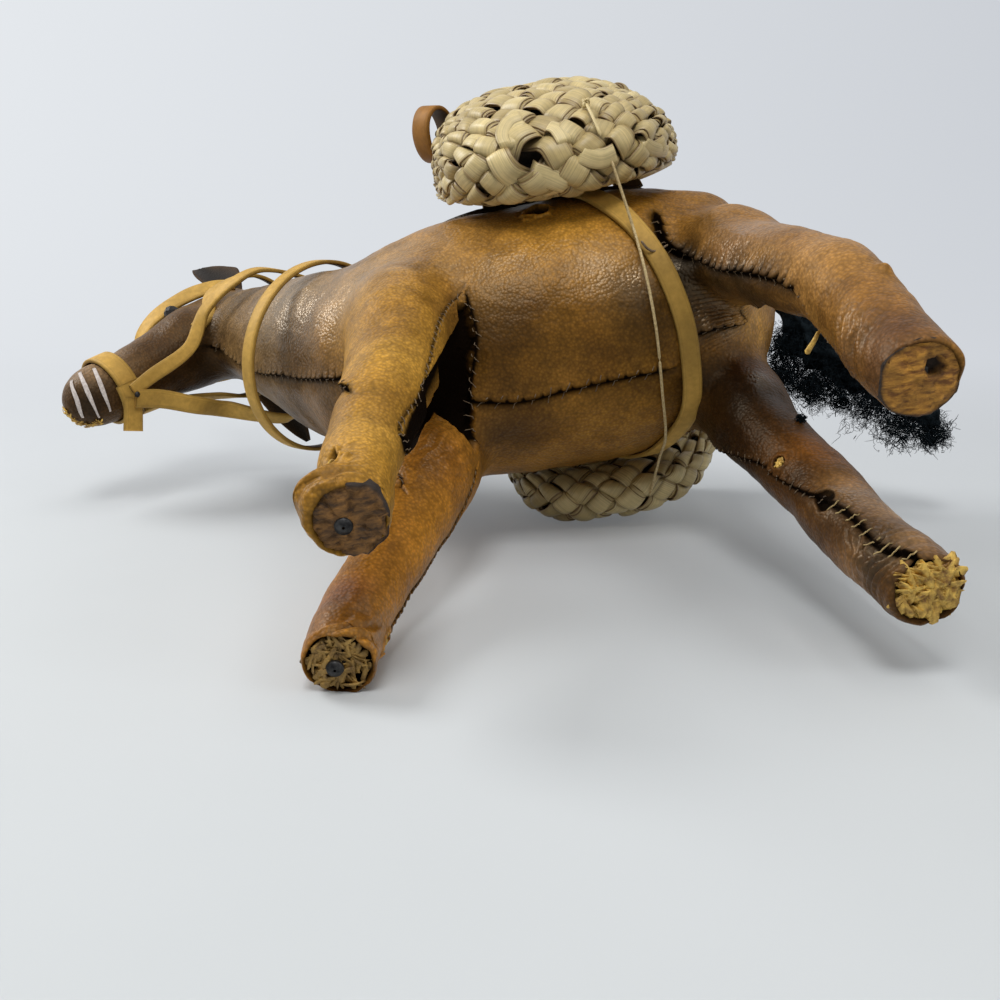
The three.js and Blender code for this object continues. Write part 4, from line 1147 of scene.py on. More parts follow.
def worked_hide():
    """The skin with its seams, tears, lumps and colours, and the painted shade of its seams, tears, fold and
    hollow leg ends.
    """
    mesh = rough_hide()
    tree = surface(mesh)
    seams = [Seam(tree, *settings) for settings in SEAMS.values()]
    tears = [(seen(tree, *pixel), *settings) for pixel, *settings in TEARS]
    fold_place = seen(tree, *FOLD_MIDDLE)[0]
    swells, polished, patches = ([(seen(tree, *pixel)[0], *settings) for pixel, *settings in spots]
                                 for spots in (SWELLS, POLISH, PATCHES))
    wrinkles = []
    for pixel, radius, second, pitch, height in WRINKLES:
        place = seen(tree, *pixel)[0]
        wrinkles.append((place, radius, unit(seen(tree, *second)[0] - place), pitch, height))

    points, _ = mesh_arrays(mesh)
    torn = [(place, radius) for (place, _), radius, *_ in tears]
    wrinkled = [spot[:2] for spot in wrinkles]
    close = near_seams(points, seams)[0] < SEAM_REACH
    close |= close_to(points, torn, TEAR_FINE) | close_to(points, wrinkled, WRINKLE_FINE[0])
    made_finer(mesh, close)
    points, _ = mesh_arrays(mesh)
    made_finer(mesh, close_to(points, wrinkled, WRINKLE_FINE[1]))
    points, _ = mesh_arrays(mesh)
    outs = np.zeros(len(points) * 3)
    mesh.vertices.foreach_get("normal", outs)
    outs = outs.reshape(-1, 3)

    lumps = np.array([noise.fractal(Vector(p / STUFFING_SIZE), 0.9, 2.1, 3) for p in points])
    rise = STUFFING_HEIGHT * lumps
    for place, radius, height in swells:
        rise += height * near(points, place, radius)
    for place, radius, across, pitch, height in wrinkles:
        ridge = np.sin(2 * math.pi * ((points - place) @ across / pitch + 0.8 * lumps))
        rise += height * ridge * near(points, place, radius)
    seam_rise, shade = seam_relief(points, seams)
    rise += seam_rise
    for (place, _), radius, depth, _ in tears:
        reach = far(points, place)
        at = np.flatnonzero(reach < 3 * radius)
        ragged = reach[at] * (1 + 0.35 * np.array([noise.noise(Vector(p / 2.1)) for p in points[at]]))
        edge = np.exp(-((ragged - radius) / TEAR_EDGE) ** 2)
        rise[at] += depth * (0.35 * edge - smooth(radius, 0.5 * radius, ragged))
        # Painted shade: the hole is darkened.
        shade[at] += 0.9 * smooth(radius, 0.75 * radius, ragged)
    fold = fold_share(points, fold_place) * smooth(-0.3, -0.1, outs @ BACK)
    rise -= FOLD_DEPTH * fold * (far(points, fold_place) < FOLD_DEEP_REACH)
    # Painted shade: the fold is painted black.
    shade += fold
    points = points + rise[:, None] * outs
    cut_soles(points, shade)

    tint = np.zeros(len(points) * 4, np.float32)
    mesh.attributes["tint"].data.foreach_get("color", tint)
    tint = tint.reshape(-1, 4)[:, :3].astype(float)
    for place, radius, colour, share in patches:
        ragged = far(points, place) * (1 + 0.3 * lumps)
        cover = share * np.exp(-(ragged / radius) ** 2)[:, None]
        tint = tint * (1 - cover) + cover * np.array(colour)
    polish = np.zeros(len(points))
    for place, radius, share in polished:
        polish = np.maximum(polish, share * near(points, place, radius))

    mesh.vertices.foreach_set("co", points.ravel())
    mesh.update()
    add_layer(mesh, "tint", tint)
    add_layer(mesh, "seam", np.clip(shade, 0, 1))
    add_layer(mesh, "polish", polish)
    return mesh, seams, tears


hide_mesh, seams, tears = worked_hide()
hide = surface(hide_mesh)
hide_nodes = ["trunk_hide_left", "trunk_hide_right", "neck_hide", "head_hide", "trunk_straw", "neck_straw",
              "head_straw", *(f"{name}_leg_hide" for name in legs)]
hide_mesh.vertices.foreach_set("co", world(mesh_arrays(hide_mesh)[0]).ravel())
stuffed = shown(hide_mesh, "stuffed_hide", HIDE, "donkey", hide_nodes)


# Stitches across the seams

STITCH_HALF = 0.12
GOLDEN_HALF = 0.17
GOLDEN_BOW = 0.9
STITCH_LIFT = 0.15


def stitch_pieces():
    builds = {}
    for seam in seams:
        build = builds.setdefault(seam.finish.name, (Build(), seam.finish))[0]
        half, bow = (STITCH_HALF, 0.0) if seam.finish is STITCH else (GOLDEN_HALF, GOLDEN_BOW)
        for at in np.arange(seam.pitch / 2, seam.run[-1] - 0.5, seam.pitch):
            i = min(int(round((at + chance.uniform(-0.3, 0.3)) / SEAM_STEP)), len(seam.line) - 1)
            ends = seam.reach * (1 + 0.25 * chance.uniform(-1, 1))
            lean = seam.pitch * chance.uniform(0.2, 0.45)
            shares = np.linspace(-1, 1, 9)[:, None]
            line = seam.line[i] + shares * (ends * seam.side[i] + lean * seam.along[i])
            line = line + bow * (1 - shares ** 2) * seam.along[i]
            line, outs = onto(hide, line)
            build.add(*tube(line + (STITCH_LIFT - 0.5 * shares ** 6) * outs, half))
    for name, (build, finish) in builds.items():
        build.piece(f"seam_{name}es", finish, "donkey", "strap")


stitch_pieces()


# Soles and the straw that shows at them

def straw_flake(build, place, out, length, half, flat=0.3, stand=0.7):
    """One bent flake of straw lying near a place."""
    spin = chance.uniform(0, 2 * math.pi)
    first, second = square_to(out)
    way = unit(math.cos(spin) * first + math.sin(spin) * second + chance.uniform(-0.4, stand) * out)
    bend = out * chance.uniform(0.1, 0.6) * length / 3
    shares = np.linspace(-0.5, 0.5, 7)[:, None]
    line = place + shares * length * way + (0.25 - shares ** 2) * 4 * bend
    build.add(*tube(line, half, flat=flat))


def straw_in(build, middle, out, radius, count, length=4.5, halves=(0.3, 0.75), *shape):
    """Flakes of straw strewn within a radius."""
    first, second = square_to(out)
    for _ in range(count):
        reach = radius * math.sqrt(chance.random())
        spin = chance.uniform(0, 2 * math.pi)
        place = middle + reach * (math.cos(spin) * first + math.sin(spin) * second)
        straw_flake(build, place, out, length * chance.uniform(0.5, 1.1), chance.uniform(*halves), *shape)


DOWN = np.array([0, 0, -1.0])
STRAW_DEPTH = 1.9
STRAW_INSET = 2.2


def straw_sole(name, finish, count, *shape):
    """Loose straw that shows at a leg's end."""
    build = Build()
    straw_in(build, soles[name] - STRAW_DEPTH * DOWN, DOWN, SOLE_RADIUS - STRAW_INSET, count, *shape)
    build.piece(f"{name}_straw_end", finish, "donkey", "straw", [f"{name}_leg_straw"])


DISC_SIDES = 72
DISC_SHARES = [0.02, 0.12, 0.25, 0.4, 0.55, 0.7, 0.8, 0.88, 0.94, 0.98, 1, 1]
DISC_INSET = 0.5
DISC_FACE = 0.9  # height of its edge over the ground
DISC_THICK = 2.5
HOLE_RADIUS = 1.9
HOLE_DEPTH = 2.6


def disc_sole(name, finish, dome, ruffle, ragged, hole=None):
    """A cut disc with a fibrous face, let into the leg's end."""
    turns = np.arange(DISC_SIDES) * 2 * math.pi / DISC_SIDES
    edge = (SOLE_RADIUS - DISC_INSET) * (1 + ragged * np.array(
        [noise.noise(Vector((2 * math.cos(t), 2 * math.sin(t), dome))) for t in turns]))
    rows, rims = [], []
    for k, share in enumerate(DISC_SHARES):
        x, y = share * edge * np.cos(turns), share * edge * np.sin(turns)
        ruff = [noise.fractal(Vector((a * 0.55, b * 0.55, 2.0)), 0.8, 2, 4) for a, b in zip(x, y)]
        z = DISC_FACE - dome * (1 - share ** 4) + ruffle * np.array(ruff)
        rim = np.full(DISC_SIDES, float(smooth(0.9, 1.0, share)))
        if hole is not None:
            reach = np.hypot(x - hole[0], y - hole[1])
            z = z + HOLE_DEPTH * smooth(HOLE_RADIUS, HOLE_RADIUS - 0.6, reach)
            # Painted shade: the hole is darkened.
            rim = np.maximum(rim, smooth(HOLE_RADIUS + 0.1, HOLE_RADIUS - 0.6, reach))
        if k == len(DISC_SHARES) - 1:
            z = z + DISC_THICK
        rows.append(np.stack([x + soles[name][0], y + soles[name][1], np.maximum(z, GROUND_GAP)], axis=1))
        rims.append(rim)
    build = Build()
    build.add(np.array(rows), grid_faces(len(rows), DISC_SIDES, wrap=True), rim=np.concatenate(rims))
    build.cap(np.arange(DISC_SIDES)[::-1])
    build.piece(f"{name}_sole_disc", finish, "donkey", "straw", [f"{name}_leg_straw"])


straw_sole("right_fore", DARK_STRAW, 100, 4.6, (0.25, 0.95), 0.3, 0.35)
straw_sole("right_hind", STRAW, 130, 6.5, (0.5, 1.3), 0.12, 0.2)
disc_sole("left_fore", FIBRE, 0.9, 1.1, 0.12)
disc_sole("left_hind", SOLE, 0.7, 0.5, 0.06, (1.6, 2.2))


WIRE_DEPTH = 2.2
WIRE_END = [(0, 1.7), (2, 1.7), (2.6, 1.55), (2.95, 0.9)]  # pairs of run and radius


def wire_end(name, offset):
    """The rounded end of the leg's wire."""
    start = soles[name] + np.array([*offset, WIRE_DEPTH])
    line = [start + run * DOWN for run, _ in WIRE_END]
    tube_piece(f"{name}_wire_end", line, [radius for _, radius in WIRE_END], 16, IRON, "donkey", "iron_wire")


wire_end("left_fore", (-0.5, -1.0))
wire_end("right_fore", (0.0, -0.6))


def dress(finish, *nodes):
    """Gives nodes of the part that stay in sight their finish."""
    for node in nodes:
        materials = frame["nodes"][node].data.materials
        materials.clear()
        materials.append(finish)


dress(IRON, "fore_leg_wire", "hind_leg_wire", "spine_wire")

tear_straw = Build()
for (place, out), radius, depth, count in tears:
    straw_in(tear_straw, place - 0.5 * depth * out, out, 0.6 * radius, count, 2.6)
tear_straw.piece("tear_straw", STRAW, "donkey", "straw")


# Ears, eyes and muzzle

# Half width of an ear, as a share, along its length
EAR_OUTLINE = [(0, 0.5), (0.18, 0.8), (0.42, 1), (0.68, 0.82), (0.88, 0.45), (1, 0.12)]
EAR_DARK = np.array([0.008, 0.004, 0.002])
EAR_PALE = np.array([0.09, 0.042, 0.011])
EAR_SHADE = 0.45
EAR_BACK = 5  # from the poll


def ear(name, degrees, way, face, cup):
    stem = head.point(HEAD_LENGTH - EAR_BACK, degrees, TURN_GAP)
    root = onto(hide, [stem], TURN_GAP / 2)[0][0]
    along = stem + EAR_LENGTH * unit(way) - root
    length = np.linalg.norm(along)
    along = unit(along)
    out = unit(np.array(face) - along * np.dot(face, along))
    across = np.cross(along, out)
    rows, columns = 40, 17
    sides = np.linspace(-1, 1, columns)
    skins = []
    for height in (-EAR_HIDE / 2, EAR_HIDE / 2):
        for t in np.linspace(0, 1, rows):
            half = EAR_WIDTH / 2 * through(EAR_OUTLINE, t)
            edge = 1 - 0.7 * np.abs(sides) ** 6
            curl = cup * sides ** 2 + 0.5 * math.sin(7 * t) * sides
            curl = smooth(0, 0.2, t) * half / EAR_WIDTH * 2 * curl
            skins.append(root + length * t * along + (sides * half)[:, None] * across
                         + (curl + height * edge)[:, None] * out)
    # Painted highlight: the leaf is paler towards its edges, where light catches them.
    rim = np.tile(np.abs(sides) ** 3, 2 * rows)
    faces = [quad[::-1] for quad in skin_faces(rows, columns)]
    build = Build()
    build.add(np.array(skins), faces, tint=EAR_DARK + (EAR_PALE - EAR_DARK) * rim[:, None],
              seam=np.full(len(rim), EAR_SHADE), polish=np.zeros(len(rim)))
    build.piece(f"{name}_leaf", HIDE, name, "hide", [name])


ear("left_ear", 34, (0.04, -0.45, 0.89), np.array([0.9, 0.3, 0.2]) + 0.75 * BACK, EAR_CUP + 1.2)
ear("right_ear", 160, (-0.93, 0.32, -0.18), (0, -0.35, -0.94), EAR_CUP)

dress(BEAD, "left_eye", "right_eye")

STROKE_WIDTH = 1.0
STROKE_HEIGHT = 0.25
STROKES = [
    [(72, 381), (77, 399), (83, 417)],
    [(80, 373), (89, 395), (99, 417)],
    [(94, 369), (102, 389), (110, 411)],
]
strokes = Build()
for marks in STROKES:
    places = [seen(hide, *pixel)[0] for pixel in marks]
    line, outs = onto(hide, curve(places, np.linspace(0, 1, 24)), 0.12)
    strip(strokes, line, outs, STROKE_WIDTH, STROKE_HEIGHT, edge=0.9)
strokes.piece("muzzle_strokes", CHALK, "donkey", "strap")

MUZZLE_STRAW = [(66, 411), (70, 416), (75, 420), (81, 423), (87, 424), (93, 424), (99, 422)]
muzzle_straw = Build()
for pixel in MUZZLE_STRAW:
    place, out = seen(hide, *pixel)
    straw_in(muzzle_straw, place, out, 0.9, 6, 3.6, (0.25, 0.55))
muzzle_straw.piece("muzzle_straw_ends", STRAW, "donkey", "straw")


# Harness

def routed(stations, count):
    shares = np.linspace(0, 1, count)
    return curve([place for place, _ in stations], shares), curve([out for _, out in stations], shares)


def from_poll(distance, degrees, stand=SEAT_GAP):
    return head.seat(HEAD_LENGTH - distance, degrees, stand)


def over(form, distance, degrees, stand):
    """Places round a form, and the ways off it."""
    return [form.point(distance, d, stand) for d in degrees], [form.out(distance, d) for d in degrees]


def strap_piece(name, stations, width, count, turned=()):
    """A strip through stations; turned lists, for each, how far its face turns toward the camera."""
    if turned:
        stations = [(place, unit(out + share * BACK)) for (place, out), share in zip(stations, turned)]
    strip_piece(name, *routed(stations, count), width, STRIP, edge=0.08)


BRIDLE_SPREAD = 1.4  # the wider straps have been pressed flat
BROW_SIDE = [(8, 2, 0.5), (15, 16, 1.5), (23, 31, 2.5), (32, 47, 3), (38, 66, 2.4)]
brow = BROW_SIDE + [(40, 90, 1.6)] + [(at, 180 - degrees, stand) for at, degrees, stand in BROW_SIDE[::-1]]
BROW_TURN = [0.4, 1.2, 1.8, 1.8, 1.2, 0.4, 0, 0, 0, 0, 0]
brow_width = BRIDLE_WIDTH + BRIDLE_SPREAD
strap_piece("browband", [from_poll(*seat) for seat in brow], brow_width, 120, BROW_TURN)

noseband_end = NOSEBAND_AT + NOSEBAND_WIDTH / 2 + 2 * SEAT_GAP
strap_piece("headstall", [
    from_poll(32, 315), from_poll(27, 322, 1.6), neck.seat(4, 338, 2.4), neck.seat(8, 18, 3),
    neck.seat(9, 55, 1.8), neck.seat(9, 90, 0.8), neck.seat(9, 125, 1.8), neck.seat(8, 162, 3),
    neck.seat(10, 200, 3.4), from_poll(33, 214, 3.6), from_poll(44, 212, 1), head.seat(noseband_end, 209),
], BRIDLE_WIDTH, 160)

keeper_stand = SEAT_GAP + STRAP + SEAT_GAP
rein_from = NOSEBAND_AT + KEEPER_LENGTH / 2 + 4 * SEAT_GAP
over_keeper = keeper_stand + STRAP
REIN_TURN = [0, 0, 0.3, 0.4, 0.3, 0, 0, 0, 0, 0, 0.6, 1.5, 1.5, 0.4, 0]
rein_width = BRIDLE_WIDTH + BRIDLE_SPREAD * smooth(100, 160, np.arange(200))
strap_piece("rein", [
    head.seat(NOSEBAND_AT + 0.5, 275, over_keeper), head.seat(rein_from + 2, 282, keeper_stand + 0.6),
    from_poll(39, 294, 3.8), neck.seat(14, 312, 4.5), neck.seat(19, 340, 4.2), neck.seat(22, 5, 3.6),
    neck.seat(25, 50, 1.6), neck.seat(25, 90, 0.8), neck.seat(25, 130, 1.6), neck.seat(26, 170, 3),
    neck.seat(28, 200, 4.5), neck.seat(17, 226, 8.5), from_poll(43, 236, 8),
    head.seat(rein_from + 3, 249, keeper_stand + 2), head.seat(NOSEBAND_AT + 0.5, 264, over_keeper),
], rein_width, len(rein_width), REIN_TURN)

PIN = [(0, 0.9), (0.3, 0.9), (0.6, 0.7), (0.75, 0.3)]  # pairs of height and radius
pin, pin_out = head.seat(NOSEBAND_AT + 1.5, 270, over_keeper + STRAP)
pin_line = [pin + height * pin_out for height, _ in PIN]
tube_piece("rein_pin_head", pin_line, [radius for _, radius in PIN], 12, IRON, "donkey", "iron_wire")

TAIL_END = (132, 431)  # pixel at the free end of the noseband's strip
start, out = head.seat(NOSEBAND_AT, 264, keeper_stand)
line = even(np.array([start, EYE + far(start, EYE) * ray(*TAIL_END)]), 0.8)
strip_piece("noseband_tail", line, out, KEEPER_LENGTH * 0.8, STRIP, nodes=(), edge=0.1)

KEEPER_HALF_DEG = 18
turns = np.linspace(0, 360, 96, endpoint=False)
noseband_line = over(head, NOSEBAND_AT, turns, SEAT_GAP)
strip_piece("noseband", *noseband_line, NOSEBAND_WIDTH, STRIP, closed=True, edge=0.05)
turns = np.linspace(270 - KEEPER_HALF_DEG, 270 + KEEPER_HALF_DEG, 16)
strip_piece("noseband_keeper", *over(head, NOSEBAND_AT, turns, keeper_stand), KEEPER_LENGTH, STRIP, edge=0.05)

NECK_STRAP_LEAN_DEG = 52.5
NECK_STRAP_HALF = 25.3
NECK_STRAP_REACH = 28
NECK_STRAP_AT = 28  # from the neck's root
LEFT = np.array([1, 0, 0])
lean = math.radians(NECK_STRAP_LEAN_DEG)
strap_up = np.array([0, math.cos(lean), math.sin(lean)])
strap_middle = neck.point(NECK_LENGTH - NECK_STRAP_AT, 90, SEAT_GAP) - NECK_STRAP_REACH * strap_up
turns = np.linspace(0, 2 * math.pi, 160, endpoint=False)
sides, rises = np.cos(turns)[:, None], np.sin(turns)[:, None]
loop = strap_middle + NECK_STRAP_HALF * sides * LEFT + NECK_STRAP_REACH * rises * strap_up
outs = unit(sides / NECK_STRAP_HALF * LEFT + rises / NECK_STRAP_REACH * strap_up)
strip_piece("neck_strap", loop, outs, BRIDLE_WIDTH, STRIP, "neck_strap", closed=True, edge=0.05)

GIRTH_SHORT_DEG = 2
GIRTH_NARROW = 4.8  # the strip is cut narrower towards its lower end
GIRTH_STEPS = 180
GIRTH_LIFT = 0.5
GIRTH_PAINTED_SHADE = 0.35
girth_end = PAD_EDGE_DEG - GIRTH_SHORT_DEG
degrees = np.linspace(180 - girth_end, 360 + girth_end, GIRTH_STEPS)
girth_y = GIRTH_Y - GIRTH_LEAN * TRUNK_HEIGHT / 2 * (1 + np.sin(np.radians(degrees)))
line = np.array([trunk.point(y - CHEST_Y, d, 2.0) for y, d in zip(girth_y, degrees)])
line, _ = onto(hide, line, SEAT_GAP)
links = np.stack([np.arange(GIRTH_STEPS - 1), np.arange(1, GIRTH_STEPS)], axis=1)
line = relaxed(line, links, np.r_[0, np.ones(GIRTH_STEPS - 2), 0], 60)
outs = np.array([trunk.out(y - CHEST_Y, d) for y, d in zip(girth_y, degrees)])
# Painted shade: the girth's middle, which lies in shadow, is darkened.
girth_shadow = smooth(330, 312, degrees) * smooth(246, 275, degrees)
width = lerp(GIRTH_NARROW, GIRTH_WIDTH, smooth(325, 345, degrees))
strip_piece("girth", line + GIRTH_LIFT * outs, outs, width, STRIP, edge=0.04, stain=GIRTH_PAINTED_SHADE * girth_shadow)

strap_stand = SEAT_GAP + PAD + SEAT_GAP
strap_places = {"front": LEFT_BASKET_Y - BACK_STRAP_SPREAD / 2, "rear": LEFT_BASKET_Y + BACK_STRAP_SPREAD / 2}
degrees = np.linspace(BACK_STRAP_END_DEG, 180 - BACK_STRAP_END_DEG, 60)
for end, y in strap_places.items():
    strap_line = over(trunk, y - CHEST_Y, degrees, strap_stand)
    strip_piece(f"{end}_back_strap", *strap_line, BACK_STRAP_WIDTH, STRIP, edge=0.05)


# Back pad

PAD_ROUND = 16  # how far the corners are cut back
PAD_WAVE = 0.25
PAD_COLOUR = (0.04, 0.02, 0.009)


def pad_piece():
    rows, columns = 70, 50
    degrees = np.linspace(PAD_EDGE_DEG, 180 - PAD_EDGE_DEG, rows)
    places = PAD_Y + np.linspace(-0.5, 0.5, columns) * PAD_LENGTH
    skins = []
    for height in (0.0, PAD):
        for k, d in enumerate(degrees):
            side = abs(2 * k / (rows - 1) - 1)
            half = PAD_LENGTH / 2 - PAD_ROUND * (1 - math.sqrt(1 - smooth(0.6, 1.0, side) ** 2))
            for y in PAD_Y + (places - PAD_Y) * half / (PAD_LENGTH / 2):
                wave = max(PAD_WAVE * noise.noise(Vector((y * 0.1, d * 0.06, 1.0))), -0.1)
                skins.append(trunk.point(y - CHEST_Y, d, SEAT_GAP + height + wave * (height > 0)))
    points = np.array(skins)
    plain = np.zeros(len(points))
    build = Build()
    build.add(points, skin_faces(rows, columns), tint=np.tile(PAD_COLOUR, (len(points), 1)),
              seam=plain, polish=plain)
    made = build.piece("back_pad_leather", HIDE, "donkey", "hide", ["back_pad"])


pad_piece()


# Baskets

TUCK_CLEAR = 0.5
basket_wall = TRUNK_HALF + SEAT_GAP + STRAP + SEAT_GAP + TUCK_CLEAR
rim_z = SPINE_Z - BASKET_DROP
STRIP_PITCH = 6.7  # from one palm strip to the next
STRIP_WIDTH = 6.1
STRIP_RISE = 1.4  # half the height between a strip that goes over and one that goes under
STRIP_SINK = 1.5  # from the basket's outer wall in to the middle of the plait
STRIP_STRAY = 1.1  # by which single strips tilt and rise
PLAIT_WANDER = 1.5  # by which the whole pattern wanders
FRONT_POWER = 3.2  # squareness of the front end, and of the rear end
REAR_POWER = 2.0


class Basket:
    """A boat-shaped pouch. A place on it is (a, b): a runs from front to rear along the bottom, and b
    from the inner rim under the bottom to the outer rim, both in millimetres at the middle."""

    def __init__(self, name, side, middle, width, holes=()):
        self.name, self.side, self.middle, self.width = name, side, middle, width
        u = np.sin(np.linspace(-math.pi / 2, math.pi / 2, 600)) * 0.9995
        self.u = u
        self.a = run_along(self.point_ut(u, np.full_like(u, 0.5)))
        self.a -= self.a[-1] / 2
        t = np.linspace(0, 1, 600)
        self.t = t
        self.b = run_along(self.point_ut(np.zeros_like(t), t))
        self.holes = [(self.corner(self.find(pixel)), radius) for pixel, radius in holes]

    def point_ut(self, u, t):
        """A point at u, from -1 at the front to 1 at the rear, and t, from 0 at the inner rim to 1."""
        power = np.where(u < 0, FRONT_POWER, REAR_POWER)
        full = (1 - np.abs(u) ** power) ** (1 / power)
        angle = math.pi * (1 + t)

        def bow(value):
            return np.sign(value) * np.abs(value) ** (2 / 3)

        drop = BASKET_DEPTH * full * -bow(np.sin(angle))
        half = self.width / 2 * full
        x = basket_wall + half + half * bow(np.cos(angle)) - BASKET_TUCK * (drop / BASKET_DEPTH) ** 4
        return np.stack([self.side * x, self.middle + u * (BASKET_LENGTH / 2), rim_z - drop], axis=-1)

    def point(self, places):
        u = np.interp(places[..., 0], self.a, self.u)
        t = np.interp(places[..., 1], self.b, self.t)
        return self.point_ut(u, t)

    def out(self, places):
        step = 0.4
        da = self.point(places + (step, 0)) - self.point(places - (step, 0))
        db = self.point(places + (0, step)) - self.point(places - (0, step))
        return unit(self.side * np.cross(da, db))

    def find(self, pixel):
        """The place that shows at a pixel."""
        a, b = np.meshgrid(np.linspace(self.a[0], self.a[-1], 160), np.linspace(0, self.b[-1], 160))
        places = np.stack([a.ravel(), b.ravel()], axis=1)
        points = self.point(places)
        x, y = pixels(points)
        facing = (self.out(places) * (points - EYE)).sum(1) < 0
        return places[np.argmin(np.hypot(x - pixel[0], y - pixel[1]) + PICTURE * ~facing)]

    @staticmethod
    def corner(place):
        """The nearest place where four strips' corners meet."""
        across = np.array([place[0] + place[1], place[1] - place[0]]) / math.sqrt(2)
        i, j = np.round(across / STRIP_PITCH) * STRIP_PITCH
        return np.array([i - j, i + j]) / math.sqrt(2)

    def wander(self, places):
        """How far the plait strays from its even pattern."""
        spots = 0.07 * places
        return PLAIT_WANDER * np.array([[noise.noise(Vector((*spot, self.width + away))) for away in (0, 50)]
                                        for spot in spots])

    def pushed(self, places):
        """Places drawn aside round the holes, and how much the strip stands up there."""
        stand = np.zeros(len(places))
        for middle, radius in self.holes:
            away = places - middle
            reach = np.linalg.norm(away, axis=1)
            push = radius * np.exp(-(reach / (2.1 * radius)) ** 2)
            places = places + away / np.maximum(reach, 0.1)[:, None] * push[:, None]
            stand += 0.9 * np.exp(-((reach + push - 1.6 * radius) / (0.9 * radius)) ** 2)
        return places, stand


# A palm strip's section: across, as a share of the half width, and height in millimetres
LEAF_SECTION = np.array([
    (-1, -0.1), (-0.98, 0.12), (-0.85, 0.3), (-0.45, 0.46), (0, 0.52), (0.45, 0.46), (0.85, 0.3),
    (0.98, 0.12), (1, -0.1), (0.6, -0.15), (-0.6, -0.15),
])


def leaf(build, basket, places, heights, width, tone, tilt=0.0):
    """One strip of palm over places on a basket, with its height off the wall and its tilt at each."""
    heading = unit(np.gradient(places, axis=0))
    square = np.stack([-heading[:, 1], heading[:, 0]], axis=1)
    across, high = LEAF_SECTION.T
    base = basket.point(places[:, None] + (width / 2 * across)[None, :, None] * square[:, None])
    tilt = np.broadcast_to(tilt, len(places))
    lift = heights[:, None] + high[None] + tilt[:, None] * across[None] - STRIP_SINK
    points = base + lift[:, :, None] * basket.out(places)[:, None]
    rows, columns = len(places), len(across)
    build.add(points, grid_faces(rows, columns, wrap=True)[:, ::basket.side],
              across=np.tile(across, rows), along=np.repeat(run_along(basket.point(places)), columns),
              tone=np.full(rows * columns, tone), under=np.tile((high < -0.12).astype(float), rows),
              # the lower the strip lies, the more painted shade it gets
              dip=np.repeat(smooth(0.9, -0.9, heights), columns))


RIM_STRIP = 4.6
PLAIT_EDGE = 0.6  # where the strips end short of the basket's two ends
LEAF_STEP = 0.75


def plait(basket):
    """Two families of slanting strips, each going over and under the other, and a strip along each rim."""
    build = Build()
    low, high = basket.a[0] + PLAIT_EDGE, basket.a[-1] - PLAIT_EDGE
    top = basket.b[-1]
    axes = [np.array([1, 1]) / math.sqrt(2), np.array([-1, 1]) / math.sqrt(2)]
    reach = (high - low + top) / math.sqrt(2)
    count = int(reach / STRIP_PITCH) + 2
    for family in (0, 1):
        heading, step = axes[family], axes[1 - family]
        for k in range(-count, count):
            shift = chance.uniform(-0.5, 0.5)
            s = np.arange(-reach * 1.5, reach * 1.5, LEAF_STEP)
            line = s[:, None] * heading + ((k + 0.5) * STRIP_PITCH + shift) * step
            inside = (line[:, 0] > low) & (line[:, 0] < high) & (line[:, 1] > 0) & (line[:, 1] < top)
            if inside.sum() < 8:
                continue
            line, s = line[inside], s[inside]
            tile = s / STRIP_PITCH
            beat = np.cos(math.pi * (tile - 0.5)) * (-1) ** (k + family)
            heights = STRIP_RISE * beat * 1.15 / np.sqrt(beat ** 2 + 0.32)
            line, stand = basket.pushed(line + basket.wander(line))
            tilt = STRIP_STRAY * noise_line(0.8 * tile, 7.3 * k, 31 * family)
            heights = heights * chance.uniform(0.85, 1.2) + stand
            heights += STRIP_STRAY * noise_line(0.7 * tile, 5.1 * k, 17 + 31 * family)
            width = STRIP_WIDTH * chance.uniform(0.86, 1.08)
            tone = chance.uniform(0.3, 1)
            leaf(build, basket, line, heights, width, tone, tilt)
            for drop in (0.45, 0.9):
                slide = chance.choice((-1, 1)) * chance.uniform(0.5, 1.3)
                # The leaves beneath are darker: painted shade under the top leaf.
                lower_tone = chance.uniform(0.2, 0.8) * tone
                leaf(build, basket, line + slide * step, heights - drop, width, lower_tone, tilt)
    for b in (0.8, top - 0.8):
        line = np.stack([np.linspace(low, high, 120), np.full(120, b)], axis=1)
        heights = 0.8 + 0.35 * np.sin(np.arange(120) * 0.55)
        leaf(build, basket, line, heights, RIM_STRIP, 0.8)
    return build


SHADE_LINER_DEPTH = 2.6
HOLE_SINK = 5.0


def shade_liner(basket):
    """A dark sheet under the plait: painted shade for the basket's inside, showing through gaps and holes."""
    rows, columns = 70, 60
    a = np.linspace(basket.a[0] + 0.3, basket.a[-1] - 0.3, rows)
    b = np.linspace(0.2, basket.b[-1] - 0.2, columns)
    places = np.stack(np.meshgrid(a, b, indexing="ij"), axis=-1)
    sunk = np.full((rows, columns), SHADE_LINER_DEPTH)
    for hole, radius in basket.holes:
        sunk += HOLE_SINK * np.exp(-(far(places, hole) / (1.1 * radius)) ** 4)
    points = basket.point(places) - sunk[..., None] * basket.out(places)
    build = Build()
    build.add(points, grid_faces(rows, columns)[:, ::basket.side])
    return build


THREAD_START_Y = 27.5


def under_basket(basket, y):
    u = np.array((y - basket.middle) / (BASKET_LENGTH / 2))
    return basket.point_ut(u, np.array(0.5)) - np.array([0, 0, SEAT_GAP + THREAD / 2])


KNOT_RUN = [(586, 108), (592, 124), (599, 140)]
KNOT_TURNS = 5
KNOT_RADIUS = 0.9
KNOT_STAND = 1.3


